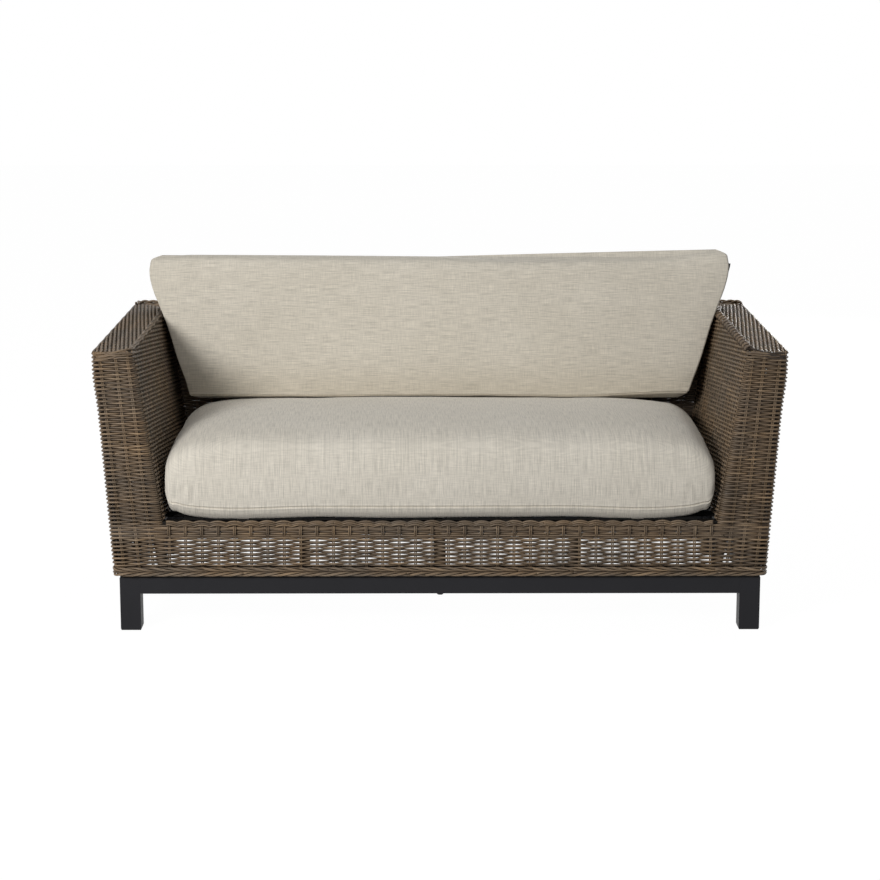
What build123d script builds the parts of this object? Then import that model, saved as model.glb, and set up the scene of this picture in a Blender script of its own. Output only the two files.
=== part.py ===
from build123d import *
from math import atan2, cos, degrees, radians, sqrt
import os

# A patio loveseat: a woven body with leaning walls on a square-tube metal base, with one long
# seat cushion and one long back cushion. Millimetres, +X to the sitter's left as seen from the
# front on the right hand, +Y to the rear, +Z up. The origin is on the floor, in the middle of
# the sofa's outer width and depth.

# Whole sofa
overall_width = 1658.0
overall_depth = 872.5
arm_height = 692.0

# Legs and base rails
base_height = 132.0
leg_size = 50.0
leg_wall = 2.5
base_rail_height = 40.0
base_rail_depth = 30.0
base_rail_wall = 2.0
base_inset = 10.5
base_gap = 6.0

# Plastic plugs that close the legs
foot_flange = 3.0
foot_margin = 1.0
foot_plug = 15.0
foot_wall = 2.5
plug_clearance = 0.3

# Bolts that hold the body on the base, and their threaded inserts
bolt_diameter = 8.0
bolt_head_across = 13.0
bolt_head_height = 5.3
bolt_shank = 55.0
bolt_hole_clearance = 0.5
insert_across = 13.0
insert_length = 11.0
insert_clearance = 0.05

# Woven walls
skin = 12.0
outer_lean = 37.5
inner_lean = 65.0
wall_top = 96.0
seat_level = 276.0
outer_corner = 18.0
inner_corner = 12.0
top_edge_bevel = 2.5

# Border round the foot of the weave, two rows high
border_height = 24.0
border_proud = 9.5
border_waist = 4.5
border_flat_share = 0.4
border_rows = 2

# Scalloped border along the seat rail
scallop_pitch = 42.0
scallop_height = 14.0
scallop_rise = 4.2
scallop_proud = 1.5

# Cords along the top edges, and the strands wrapped across the arm fronts
edge_cord = 12.0
edge_cord_proud = 2.0
rear_cord_proud = 5.0
wrap_strand = 4.6
wrap_pitch = 5.0
wrap_drop = 5.0
wrap_count = 3

# Square aluminium tube of the body's frame
tube = 25.0
tube_wall = 1.8
front_strut_pitch = 330.0
back_post_pitch = 440.0
arm_tie_pitch = 300.0

# Webbing of the seat deck
webbing_width = 50.0
webbing_thickness = 2.0
webbing_pitch = 80.0
webbing_margin = 12.0

# Seat cushion
seat_height = 210.0
seat_side_gap = 8.0
seat_front_setback = 12.0
seat_rear_gap = 5.0
seat_bottom_gap = 0.5
cover_thickness = 2.0
foam_clearance = 1.5

# Back cushion
back_length = 387.0
back_thickness = 165.0
back_overlap = 37.0
back_wall_gap = 1.0
back_foot_gap = 30.0
back_arm_gap = 1.0

# Zips and the tab sewn into the back cushion's side
zip_width = 25.0
zip_thickness = 2.0
zip_sink = 1.0
zip_slider_width = 10.0
zip_slider_length = 14.0
zip_slider_height = 3.5
zip_slider_gap = 0.4
seat_zip_length = 1040.0
seat_zip_level = 345.0
back_zip_length = 960.0
back_zip_inset = 40.0
tab_length = 20.0
tab_width = 16.0
tab_thickness = 3.0
tab_reach = 4.0
tab_root = 9.0
tab_level_share = 0.86

# One overrun for every cut
overrun = 20.0

# Half of anything, where a share is wanted
middle_share = 0.5

# Sections of the seat cushion from side to side: place across, depth, and the heights of its
# bottom and top, as shares
seat_station_shares = (
    (-1.000, 0.955, 0.300, 0.710),
    (-0.990, 0.975, 0.150, 0.790),
    (-0.955, 0.990, 0.060, 0.890),
    (-0.870, 0.998, 0.000, 0.955),
    (0.000, 1.000, 0.000, 1.000),
    (0.870, 0.998, 0.000, 0.955),
    (0.955, 0.990, 0.060, 0.890),
    (0.990, 0.975, 0.150, 0.790),
    (1.000, 0.955, 0.300, 0.710),
)

seat_widest_share = 0.30

# Outline of the seat cushion seen from the side: corner and the point its arc passes, as shares
# of depth and height, from the bottom of the front round to the bottom of the rear
seat_outline_shares = (
    ((0.060, 0.000), (0.025, 0.039)),
    ((0.004, 0.140), (0.000, 0.380)),
    ((0.012, 0.620), (0.040, 0.830)),
    ((0.115, 0.930), (0.450, 1.000)),
    ((0.860, 0.900), (0.965, 0.760)),
    ((0.995, 0.520), (1.000, 0.300)),
    ((0.990, 0.120), None),
    ((0.950, 0.000), None),
)

# Sections of the back cushion from bottom to top: place along its length, how much of the half
# width is drawn in, and how much of the thickness is drawn in at the front and at the rear
back_station_shares = (
    (0.000, 0.046, 0.200, 0.090),
    (0.025, 0.020, 0.085, 0.025),
    (0.110, 0.002, 0.010, 0.000),
    (0.500, 0.000, -0.030, 0.000),
    (0.890, 0.000, 0.015, 0.000),
    (0.975, 0.016, 0.110, 0.030),
    (1.000, 0.042, 0.230, 0.090),
)

# Outline of the back cushion seen from above: corner and the point its arc passes, as shares of
# the half width and of the thickness, from the rear right corner round the front to the rear left
back_outline_shares = (
    ((0.975, 0.000), None),
    ((0.998, 0.200), (1.001, 0.520)),
    ((0.993, 0.820), (0.972, 0.940)),
    ((0.880, 1.000), (0.000, 1.020)),
    ((-0.880, 1.000), (-0.972, 0.940)),
    ((-0.993, 0.820), (-1.001, 0.520)),
    ((-0.998, 0.200), None),
    ((-0.975, 0.000), None),
)

# Levels and lines that several pieces share
body_bottom = base_height + base_gap
border_top = body_bottom + border_height
skin_top = arm_height - skin
tube_low = base_height + tube
frame_top = skin_top
rail_low = frame_top - tube
deck_rail_top = seat_level - 2 * webbing_thickness
deck_rail_low = deck_rail_top - tube
front_y = border_proud - overall_depth / 2
inner_cord_level = arm_height + edge_cord_proud - edge_cord / 2
inner_skin_top = inner_cord_level - edge_cord / 2


def lean_at(z, foot, lean):
    """How far a wall stands in from its place at arm height, at height z."""
    return lean * (arm_height - z) / (arm_height - foot)


def outer_x(z):
    """Outer face of the side walls."""
    return overall_width / 2 - lean_at(z, body_bottom, outer_lean)


def outer_y(z):
    """Outer face of the rear wall."""
    return overall_depth / 2 - lean_at(z, body_bottom, outer_lean)


def inner_x(z):
    """Inner face of the arms."""
    return overall_width / 2 - wall_top - lean_at(z, seat_level, inner_lean)


def inner_y(z):
    """Inner face of the back."""
    return overall_depth / 2 - wall_top - lean_at(z, seat_level, inner_lean)


deck_front = front_y + skin + tube
deck_rear = inner_y(seat_level)
side_post_y = (deck_front + deck_rear) / 2 - tube / 2

# Where the cushions lie
seat_bottom = seat_level + seat_bottom_gap
seat_front = front_y + seat_front_setback
seat_rear = inner_y(seat_level) - seat_rear_gap
seat_half = inner_x(seat_bottom + seat_widest_share * seat_height) - seat_side_gap
back_bottom = seat_bottom + seat_height - back_overlap
back_foot_half = inner_x(back_bottom) - back_foot_gap
back_arm_half = inner_x(arm_height) - back_arm_gap
back_flare = (back_arm_half - back_foot_half) / (arm_height - back_bottom)

# The base's outline
base_x = outer_x(body_bottom) - base_inset
base_front = front_y + base_inset
base_rear = outer_y(body_bottom) - base_inset


def box(x0, x1, y0, y1, z0, z1):
    """A box between two corners."""
    centre = Pos((x0 + x1) / 2, (y0 + y1) / 2, (z0 + z1) / 2)
    return centre * Box(x1 - x0, y1 - y0, z1 - z0)


def mirrored(shape):
    """The same piece on the other side of the sofa."""
    return mirror(shape, about=Plane.YZ)


def pair(shape):
    """A piece and its mirror image, as separate solids."""
    return Compound([shape, mirrored(shape)])


def plan(x0, x1, y0, y1, z):
    """A flat rectangle at height z."""
    return Pos((x0 + x1) / 2, (y0 + y1) / 2, z) * Rectangle(x1 - x0, y1 - y0)


def leaning_block(sides, low, high):
    """A block whose sides (x0, x1, y0, y1) are given as functions of height."""
    return loft([plan(*sides(low), low), plan(*sides(high), high)], ruled=True)


def square_tube(x0, x1, y0, y1, z0, z1, wall, along):
    """A straight tube between two corners, open at both ends along X, Y or Z."""
    open_x = -overrun if along == "x" else wall
    open_y = -overrun if along == "y" else wall
    open_z = -overrun if along == "z" else wall
    bore = box(x0 + open_x, x1 - open_x, y0 + open_y, y1 - open_y, z0 + open_z, z1 - open_z)
    return box(x0, x1, y0, y1, z0, z1) - bore


def leaning_post(x_at, y_at, low, high):
    """An upright tube whose low corner (x, y) is given as functions of height."""

    def outside(z):
        return x_at(z), x_at(z) + tube, y_at(z), y_at(z) + tube

    def inside(z):
        x0, x1, y0, y1 = outside(z)
        return x0 + tube_wall, x1 - tube_wall, y0 + tube_wall, y1 - tube_wall

    bore = leaning_block(inside, low, high)
    return leaning_block(outside, low, high) - bore


# Base


def leg(front):
    """Right-hand leg: square tube, closed at the top."""
    y0 = base_front if front else base_rear - leg_size
    y1 = y0 + leg_size
    x0 = base_x - leg_size
    bore = box(
        x0 + leg_wall, base_x - leg_wall, y0 + leg_wall, y1 - leg_wall,
        foot_flange - overrun, base_height - leg_wall,
    )
    return box(x0, base_x, y0, y1, foot_flange, base_height) - bore


def foot(front):
    """Plug in the open end of a right-hand leg, with the flange that stands on the floor."""
    y0 = base_front if front else base_rear - leg_size
    x0 = base_x - leg_size
    edge = leg_wall + plug_clearance
    core = edge + foot_wall
    flange = box(
        x0 + foot_margin, base_x - foot_margin, y0 + foot_margin, y0 + leg_size - foot_margin,
        0, foot_flange,
    )
    plug = box(
        x0 + edge, base_x - edge, y0 + edge, y0 + leg_size - edge,
        foot_flange, foot_flange + foot_plug,
    )
    hollow = box(
        x0 + core, base_x - core, y0 + core, y0 + leg_size - core,
        foot_flange, foot_flange + foot_plug + overrun,
    )
    return flange + plug - hollow


def bolt_places():
    """Where the body is bolted down: under the middle of the body's bottom rails."""
    line_x = outer_x(body_bottom) - skin - tube / 2
    line_front = front_y + skin + tube / 2
    line_rear = outer_y(body_bottom) - skin - tube / 2
    line_side = (line_front + line_rear) / 2
    return [(0, line_front), (0, line_rear), (-line_x, line_side), (line_x, line_side)]


def bolt_holes():
    """The bolts' clearance holes through the base rails and the foot of the body's rails."""
    holes = []
    radius = bolt_diameter / 2 + bolt_hole_clearance
    low = base_height - base_rail_height - overrun
    high = base_height + tube_wall + overrun / 2
    for x, y in bolt_places():
        holes.append(Pos(x, y, (low + high) / 2) * Cylinder(radius, high - low))
    return holes


def base_rail_front():
    rail_low_z = base_height - base_rail_height
    x1 = base_x - leg_size
    rail = square_tube(
        -x1, x1, base_front, base_front + base_rail_depth, rail_low_z, base_height,
        base_rail_wall, "x",
    )
    return rail - bolt_holes()


def base_rail_rear():
    rail_low_z = base_height - base_rail_height
    x1 = base_x - leg_size
    rail = square_tube(
        -x1, x1, base_rear - base_rail_depth, base_rear, rail_low_z, base_height,
        base_rail_wall, "x",
    )
    return rail - bolt_holes()


def base_rail_right():
    rail_low_z = base_height - base_rail_height
    rail = square_tube(
        base_x - base_rail_depth, base_x, base_front + leg_size, base_rear - leg_size,
        rail_low_z, base_height, base_rail_wall, "y",
    )
    return rail - bolt_holes()


def base_cross_tube():
    """Stiffener between the front and rear rails, in the middle."""
    half = base_rail_depth / 2
    return square_tube(
        -half, half, base_front + base_rail_depth, base_rear - base_rail_depth,
        base_height - base_rail_height, base_height, base_rail_wall, "y",
    )


def base_bolts():
    """Hexagon bolts, heads up against the underside of the base rails."""
    under = base_height - base_rail_height
    bolts = []
    for x, y in bolt_places():
        head = extrude(
            Pos(x, y, under - bolt_head_height) * RegularPolygon(bolt_head_across / sqrt(3), 6),
            bolt_head_height,
        )
        shank = Pos(x, y, under + bolt_shank / 2) * Cylinder(bolt_diameter / 2, bolt_shank)
        bolts.append(head + shank)
    return Compound(bolts)


def thread_inserts():
    """Hexagonal threaded inserts inside the body's bottom rails."""
    foot_level = base_height + tube_wall
    ring = RegularPolygon(insert_across / sqrt(3), 6) - Circle(bolt_diameter / 2 + insert_clearance)
    insert = extrude(ring, insert_length)
    return Compound([Pos(x, y, foot_level) * insert for x, y in bolt_places()])


# Aluminium frame inside the weave


def bottom_rail(front):
    """Front or rear bottom rail of the body, across the whole width."""
    x1 = outer_x(body_bottom) - skin
    y0 = front_y + skin if front else outer_y(body_bottom) - skin - tube
    rail = square_tube(-x1, x1, y0, y0 + tube, base_height, tube_low, tube_wall, "x")
    return rail - bolt_holes()


def bottom_rail_right():
    x1 = outer_x(body_bottom) - skin
    rail = square_tube(
        x1 - tube, x1, front_y + skin + tube, outer_y(body_bottom) - skin - tube,
        base_height, tube_low, tube_wall, "y",
    )
    return rail - bolt_holes()


def seat_rail_front():
    """Front rail of the seat deck, between the inner posts of the arms."""
    x1 = inner_x(deck_rail_low) + skin
    y0 = front_y + skin
    return square_tube(-x1, x1, y0, y0 + tube, deck_rail_low, deck_rail_top, tube_wall, "x")


def seat_rail_rear():
    """Rear rail of the seat deck, across the whole body."""
    x1 = outer_x(deck_rail_low) - skin
    y0 = inner_y(seat_level)
    return square_tube(-x1, x1, y0, y0 + tube, deck_rail_low, deck_rail_top, tube_wall, "x")


def seat_rail_right():
    x0 = inner_x(deck_rail_top) + skin
    return square_tube(
        x0, x0 + tube, front_y + skin + tube, inner_y(seat_level),
        deck_rail_low, deck_rail_top, tube_wall, "y",
    )


def seat_struts():
    """Short uprights that carry the seat rails on the bottom rails."""
    struts = []
    y0 = front_y + skin
    for place in (-1, 0, 1):
        x0 = place * front_strut_pitch - tube / 2
        struts.append(square_tube(x0, x0 + tube, y0, y0 + tube, tube_low, deck_rail_low, tube_wall, "z"))
    x1 = outer_x(body_bottom) - skin
    y0 = inner_y(seat_level)
    side = square_tube(x1 - tube, x1, y0, y0 + tube, tube_low, deck_rail_low, tube_wall, "z")
    return Compound(struts + [side, mirrored(side)])


def outer_post(y_at):
    """Right-hand post against the outer side wall."""
    return leaning_post(lambda z: outer_x(z) - skin - tube, y_at, tube_low, rail_low)


def outer_corner_posts():
    front = outer_post(lambda z: front_y + skin)
    rear = outer_post(lambda z: outer_y(z) - skin - tube)
    return Compound([front, rear, mirrored(front), mirrored(rear)])


def outer_mid_posts():
    """Outer posts in the middle of the side walls and in the rear wall."""
    side = outer_post(lambda z: side_post_y)
    rear = leaning_post(
        lambda z: back_post_pitch / 2 - tube / 2, lambda z: outer_y(z) - skin - tube,
        tube_low, rail_low,
    )
    return Compound([side, mirrored(side), rear, mirrored(rear)])


def inner_post(y_at, low):
    """Right-hand post against the arm's inner wall."""
    return leaning_post(lambda z: inner_x(z) + skin, y_at, low, rail_low)


def inner_corner_posts():
    front = inner_post(lambda z: front_y + skin, tube_low)
    rear = inner_post(lambda z: inner_y(z) + skin, deck_rail_top)
    return Compound([front, rear, mirrored(front), mirrored(rear)])


def inner_mid_posts():
    """Posts between the seat rails and the inner top rails."""
    side = inner_post(lambda z: side_post_y, deck_rail_top)
    rear = leaning_post(
        lambda z: back_post_pitch / 2 - tube / 2, lambda z: inner_y(z) + skin,
        deck_rail_top, rail_low,
    )
    return Compound([side, mirrored(side), rear, mirrored(rear)])


def outer_top_rail_back():
    x1 = outer_x(rail_low) - skin
    y1 = outer_y(rail_low) - skin
    return square_tube(-x1, x1, y1 - tube, y1, rail_low, frame_top, tube_wall, "x")


def outer_top_rail_right():
    x1 = outer_x(rail_low) - skin
    y1 = outer_y(rail_low) - skin - tube
    return square_tube(x1 - tube, x1, front_y + skin, y1, rail_low, frame_top, tube_wall, "y")


def inner_top_rail_back():
    x1 = inner_x(arm_height) + edge_cord + tube
    y0 = inner_y(arm_height) + edge_cord
    return square_tube(-x1, x1, y0, y0 + tube, rail_low, frame_top, tube_wall, "x")


def inner_top_rail_right():
    x0 = inner_x(arm_height) + edge_cord
    y1 = inner_y(arm_height) + edge_cord
    return square_tube(x0, x0 + tube, front_y + skin, y1, rail_low, frame_top, tube_wall, "y")


def top_ties():
    """Short tubes between the outer and inner top rails."""
    ties = []
    x0 = inner_x(arm_height) + edge_cord + tube
    x1 = outer_x(rail_low) - skin - tube
    for step in range(3):
        y0 = front_y + skin + step * arm_tie_pitch
        tie = square_tube(x0, x1, y0, y0 + tube, rail_low, frame_top, tube_wall, "x")
        ties += [tie, mirrored(tie)]
    y0 = inner_y(arm_height) + edge_cord + tube
    y1 = outer_y(rail_low) - skin - tube
    for place in (-1, 1):
        x0 = place * back_post_pitch / 2 - tube / 2
        ties.append(square_tube(x0, x0 + tube, y0, y1, rail_low, frame_top, tube_wall, "y"))
    return Compound(ties)


# Seat deck


def webbing_places(low, high):
    """Middles of the straps that fit between two lines."""
    room = high - low - webbing_width
    count = int(room / webbing_pitch) + 1
    first = (low + high) / 2 - (count - 1) * webbing_pitch / 2
    return [first + step * webbing_pitch for step in range(count)]


def webbing_across():
    x1 = inner_x(deck_rail_top) + skin + tube
    half = webbing_width / 2
    straps = []
    for y in webbing_places(deck_front, deck_rear):
        straps.append(box(-x1, x1, y - half, y + half, deck_rail_top, deck_rail_top + webbing_thickness))
    return Compound(straps)


def webbing_lengthwise():
    x1 = inner_x(seat_level) - webbing_margin
    half = webbing_width / 2
    low = deck_rail_top + webbing_thickness
    y0 = front_y + skin
    y1 = deck_rear + skin / 2
    straps = []
    for x in webbing_places(-x1, x1):
        straps.append(box(x - half, x + half, y0, y1, low, seat_level))
    return Compound(straps)


# Woven walls


def rounded_plan(z):
    """Outline of the body seen from above at height z, with round corners."""
    width = 2 * outer_x(z)
    depth = outer_y(z) - front_y
    return Pos(0, front_y + depth / 2, z) * RectangleRounded(width, depth, outer_corner)


def outer_shell():
    """The outer walls all round, from the border up to the tops."""

    def inside(z):
        return -outer_x(z) + skin, outer_x(z) - skin, front_y + skin, outer_y(z) - skin

    full = loft([rounded_plan(border_top), rounded_plan(skin_top)], ruled=True)
    return full - leaning_block(inside, border_top, skin_top)


def horseshoe_plan(z, well_x, well_y, inset=0):
    """The arms and the back seen from above at height z, with round corners outside."""
    half = outer_x(z) - inset
    full = plan(-half, half, front_y + inset, outer_y(z) - inset, z)
    shape = full - plan(-well_x, well_x, front_y - overrun, well_y, z)
    outer = shape.vertices().filter_by(lambda v: abs(v.X) > well_x + wall_top / 3)
    shape = fillet(outer, outer_corner)
    front = shape.vertices().filter_by(lambda v: abs(abs(v.X) - well_x) < skin and v.Y < 0)
    return fillet(front, inner_corner)


def well_shell():
    """The arms' fronts and the walls round the seat well, from the seat up to the tops."""

    def room(z):
        return -outer_x(z) + skin, outer_x(z) - skin, front_y + skin, outer_y(z) - skin

    def well(z):
        return -inner_x(z) - skin, inner_x(z) + skin, front_y - overrun, inner_y(z) + skin

    ends = [horseshoe_plan(z, inner_x(z), inner_y(z)) for z in (seat_level, skin_top)]
    full = loft(ends, ruled=True)
    hollow = leaning_block(room, seat_level, skin_top) - leaning_block(well, seat_level, skin_top)
    return full - hollow


def side_zone(z):
    """Where the right-hand side wall lies, between the round corners."""
    return 0, outer_x(z) + overrun, front_y + outer_corner, outer_y(z) - outer_corner


def rear_zone(z):
    """Where the rear wall lies, round corners included."""
    return -outer_x(z) - overrun, outer_x(z) + overrun, outer_y(z) - outer_corner, outer_y(z) + overrun


def front_zone(z):
    """Where the front faces lie, round corners included."""
    return -outer_x(z) - overrun, outer_x(z) + overrun, front_y - overrun, front_y + outer_corner


def arm_outer_wall(shell):
    return shell & leaning_block(side_zone, border_top, skin_top)


def back_outer_wall(shell):
    return shell & leaning_block(rear_zone, border_top, skin_top)


def front_apron(shell):
    """Front wall below the seat, notched for the scalloped border."""
    notch_x = inner_x(seat_level - scallop_height)
    notch = box(
        -notch_x, notch_x, front_y - overrun, front_y + overrun,
        seat_level - scallop_height, seat_level + overrun,
    )
    return (shell & leaning_block(front_zone, border_top, seat_level)) - notch


def arm_front_face(shell):
    """Right-hand arm's front, with its outer and inner round corners."""

    def zone(z):
        return 0, outer_x(z) + overrun, front_y - overrun, front_y + outer_corner

    cord_room = box(
        0, inner_x(arm_height) + edge_cord, front_y - overrun, front_y + overrun,
        inner_skin_top, arm_height,
    )
    return (shell & leaning_block(zone, seat_level, skin_top)) - cord_room


def arm_inner_wall(shell):
    """Right-hand arm's inner wall, between its front face and the back."""

    def zone(z):
        return 0, inner_x(z) + skin, front_y + outer_corner, inner_y(z)

    return shell & leaning_block(zone, seat_level, inner_skin_top)


def back_inner_wall(shell):
    """Inner wall of the back, closing the rear ends of the arms' inner walls."""

    def zone(z):
        return -inner_x(z) - skin, inner_x(z) + skin, inner_y(z), inner_y(z) + skin

    return shell & leaning_block(zone, seat_level, inner_skin_top)


def top_cap():
    """The tops of the arms and the back, in one, with the outer edges bevelled."""
    well_x = inner_x(arm_height) + edge_cord
    well_y = inner_y(arm_height) + edge_cord
    bevel_low = arm_height - top_edge_bevel
    levels = [(skin_top, 0), (bevel_low, 0), (arm_height, top_edge_bevel)]
    plans = [horseshoe_plan(z, well_x, well_y, inset) for z, inset in levels]
    rear_x = overall_width / 2 - outer_corner
    rear_slot = box(
        -rear_x, rear_x, overall_depth / 2 - edge_cord, overall_depth / 2 + overrun,
        skin_top - overrun, arm_height + overrun,
    )
    return loft(plans, ruled=True) - rear_slot


def mitre_zone(points):
    """A prism over corners seen from above, as thick as the tops."""
    return extrude(Pos(0, 0, skin_top) * make_face(Polyline(*points, close=True)), skin)


def arm_top(cap):
    """Right-hand arm's top, mitred into the back's."""
    x0 = inner_x(arm_height) + edge_cord
    y0 = inner_y(arm_height) + edge_cord
    x1 = overall_width
    y1 = y0 + x1 - x0
    return cap & mitre_zone([(x0, y0), (0, y0 - x0), (0, -x1), (x1, -x1), (x1, y1)])


def back_top(cap):
    """The back's top, mitred into the arms'."""
    x0 = inner_x(arm_height) + edge_cord
    y0 = inner_y(arm_height) + edge_cord
    x1 = overall_width
    y1 = y0 + x1 - x0
    return cap & mitre_zone([(0, y0 - x0), (x0, y0), (x1, y1), (-x1, y1), (-x0, y0)])


# Borders and cords


def turned_run(section, half, line, outward, corner):
    """A straight run across the sofa with a quarter turn at each end.

    section is a flat shape: x is the distance outward from the line, y the height.
    """
    plane = Plane(origin=(-half * outward, line, 0), x_dir=(0, outward, 0), z_dir=(outward, 0, 0))
    start = plane * section
    run = extrude(start, 2 * half)
    centre_y = line - outward * corner
    near = revolve(start, Axis((-half * outward, centre_y, 0), (0, 0, 1)), 90)
    end = Pos(2 * half * outward, 0, 0) * start
    far = revolve(end, Axis((half * outward, centre_y, 0), (0, 0, -1)), 90)
    return run + near + far


def border_section():
    """Cross-section of the bottom border: one bulge for each row."""
    row = border_height / border_rows
    slope = row * (1 - border_flat_share) / 2
    points = [(-skin, border_top), (-skin, body_bottom)]
    for step in range(border_rows):
        low = body_bottom + step * row
        points += [(border_waist, low), (border_proud, low + slope), (border_proud, low + row - slope)]
    points.append((border_waist, border_top))
    return make_face(Polyline(*points, close=True))


def frame_room():
    """The space inside the woven walls at the height of the bottom border."""

    def sides(z):
        return -outer_x(z) + skin, outer_x(z) - skin, front_y + skin, outer_y(z) - skin

    return leaning_block(sides, body_bottom, border_top)


def border_front():
    half = outer_x(body_bottom) - outer_corner
    return turned_run(border_section(), half, front_y, -1, outer_corner) - frame_room()


def border_rear():
    half = outer_x(body_bottom) - outer_corner
    return turned_run(border_section(), half, outer_y(body_bottom), 1, outer_corner) - frame_room()


def border_right():
    y0 = front_y + outer_corner
    y1 = outer_y(body_bottom) - outer_corner
    plane = Plane(origin=(outer_x(body_bottom), y1, 0), x_dir=(1, 0, 0), z_dir=(0, -1, 0))
    return extrude(plane * border_section(), y1 - y0) - frame_room()


def scalloped_border():
    """Strip along the seat rail whose top edge is a row of shallow arcs, one for each upright pair."""
    half = inner_x(seat_level - scallop_height)
    count = round(2 * half / scallop_pitch)
    pitch = 2 * half / count
    low = seat_level - scallop_height
    valley = seat_level - scallop_rise
    edges = []
    for step in range(count):
        x = -half + step * pitch
        edges.append(ThreePointArc((x, valley), (x + pitch / 2, seat_level), (x + pitch, valley)))
    corners = [(half, valley), (half, low), (-half, low), (-half, valley)]
    edges += Polyline(*corners).edges()
    plane = Plane(origin=(0, front_y - scallop_proud, 0), x_dir=(1, 0, 0), z_dir=(0, -1, 0))
    return extrude(plane * make_face(edges), -(skin + scallop_proud))


def arm_edge_cord():
    """Cord along the inner top edge of the right-hand arm, up to the back's cord."""
    y0 = front_y
    y1 = inner_y(arm_height)
    middle = Pos(inner_x(arm_height) + edge_cord / 2, (y0 + y1) / 2, inner_cord_level)
    return middle * Rot(90, 0, 0) * Cylinder(edge_cord / 2, y1 - y0)


def back_edge_cord():
    """Cord along the inner top edge of the back, over the ends of the arms' cords."""
    half = inner_x(arm_height) + edge_cord
    middle = Pos(0, inner_y(arm_height) + edge_cord / 2, inner_cord_level)
    return middle * Rot(0, 90, 0) * Cylinder(edge_cord / 2, 2 * half)


def rear_edge_cord():
    """Cord along the rear top edge."""
    half = overall_width / 2 - outer_corner
    y = overall_depth / 2 - edge_cord / 2
    z = arm_height + rear_cord_proud - edge_cord / 2
    return Pos(0, y, z) * Rot(0, 90, 0) * Cylinder(edge_cord / 2, 2 * half)


def arm_front_wraps():
    """Long strands across the top of each arm's front."""
    strands = []
    for step in range(wrap_count):
        z = arm_height - wrap_drop - step * wrap_pitch
        x0 = inner_x(z) + inner_corner
        x1 = outer_x(z) - outer_corner
        middle = Pos((x0 + x1) / 2, front_y - wrap_strand / 2, z)
        strand = middle * Rot(0, 90, 0) * Cylinder(wrap_strand / 2, x1 - x0)
        strands += [strand, mirrored(strand)]
    return Compound(strands)


# Cushions


def outline_face(shares, place):
    """Closed outline through shared corners: an arc where a passing point is given, else a line."""
    edges = []
    for index, (corner, passing) in enumerate(shares):
        start = place(*corner)
        end = place(*shares[(index + 1) % len(shares)][0])
        if passing is None:
            edges.append(Line(start, end))
        else:
            edges.append(ThreePointArc(start, place(*passing), end))
    return make_face(edges)


def seat_form(inset):
    """Crowned seat cushion with drawn-in sides, inset all round for the layers inside it."""
    depth = seat_rear - seat_front - 2 * inset
    height = seat_height - 2 * inset
    half = seat_half - inset
    middle = (seat_front + seat_rear) / 2
    sections = []
    for across, depth_share, low_share, high_share in seat_station_shares:

        def place(deep, tall):
            y = middle + (deep - middle_share) * depth * depth_share
            z = seat_bottom + inset + (low_share + tall * (high_share - low_share)) * height
            return across * half, y, z

        sections.append(outline_face(seat_outline_shares, place))
    return loft(sections, ruled=True)


def seat_zip_slot():
    """Opening for the zip in the rear of the seat cushion's cover."""
    half = seat_zip_length / 2
    return box(
        -half, half, seat_rear - zip_sink - zip_thickness, seat_rear + overrun,
        seat_zip_level - zip_width / 2, seat_zip_level + zip_width / 2,
    )


def seat_cushion_cover():
    return seat_form(0) - seat_form(cover_thickness) - seat_zip_slot()


def seat_cushion_foam():
    return seat_form(cover_thickness + foam_clearance)


def seat_zip_tape():
    half = seat_zip_length / 2
    return box(
        -half, half, seat_rear - zip_sink - zip_thickness, seat_rear - zip_sink,
        seat_zip_level - zip_width / 2, seat_zip_level + zip_width / 2,
    )


def slider_block(length, width, height):
    """Zip slider: a wedge-nosed body with its pull lying flat on it."""
    nose = width / 3
    outline = Polyline(
        (-length / 2, -width / 2), (length / 2 - nose, -width / 2), (length / 2, -nose / 2),
        (length / 2, nose / 2), (length / 2 - nose, width / 2), (-length / 2, width / 2),
        close=True,
    )
    return extrude(make_face(outline), height)


def seat_zip_slider():
    """Slider at the right-hand end of the seat cushion's zip."""
    x = seat_zip_length / 2 - zip_slider_length
    y = seat_rear - zip_sink + zip_slider_gap
    body = slider_block(zip_slider_length, zip_slider_width, zip_slider_height)
    return Pos(x, y, seat_zip_level) * Rot(-90, 0, 0) * body


back_lean = degrees(atan2(inner_lean, arm_height - seat_level))


def back_place():
    """From the back cushion's own upright frame to its place against the leaning wall."""
    y = inner_y(back_bottom) - back_wall_gap
    return Pos(0, y, back_bottom) * Rot(-back_lean, 0, 0)


def back_half(along):
    """Half width of the back cushion at a share of its length from the bottom."""
    return back_foot_half + back_flare * along * back_length * cos(radians(back_lean))


def back_form(inset):
    """Back cushion, wider at the top, with its front crowned and its rear flat on the wall."""
    sections = []
    thickness = back_thickness - 2 * inset
    for along, drawn, front_drawn, rear_drawn in back_station_shares:
        half = back_half(along) * (1 - drawn) - inset
        z = inset + along * (back_length - 2 * inset)
        near = inset + thickness * rear_drawn
        far = inset + thickness * (1 - front_drawn)

        def place(wide, deep):
            return wide * half, -(near + deep * (far - near)), z

        sections.append(outline_face(back_outline_shares, place))
    return loft(sections, ruled=True)


def back_zip_slot():
    half = back_zip_length / 2
    return box(
        -half, half, -back_zip_inset - zip_width / 2, -back_zip_inset + zip_width / 2,
        -overrun, zip_sink + zip_thickness,
    )


def back_zip_tape():
    half = back_zip_length / 2
    return back_place() * box(
        -half, half, -back_zip_inset - zip_width / 2, -back_zip_inset + zip_width / 2,
        zip_sink, zip_sink + zip_thickness,
    )


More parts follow.
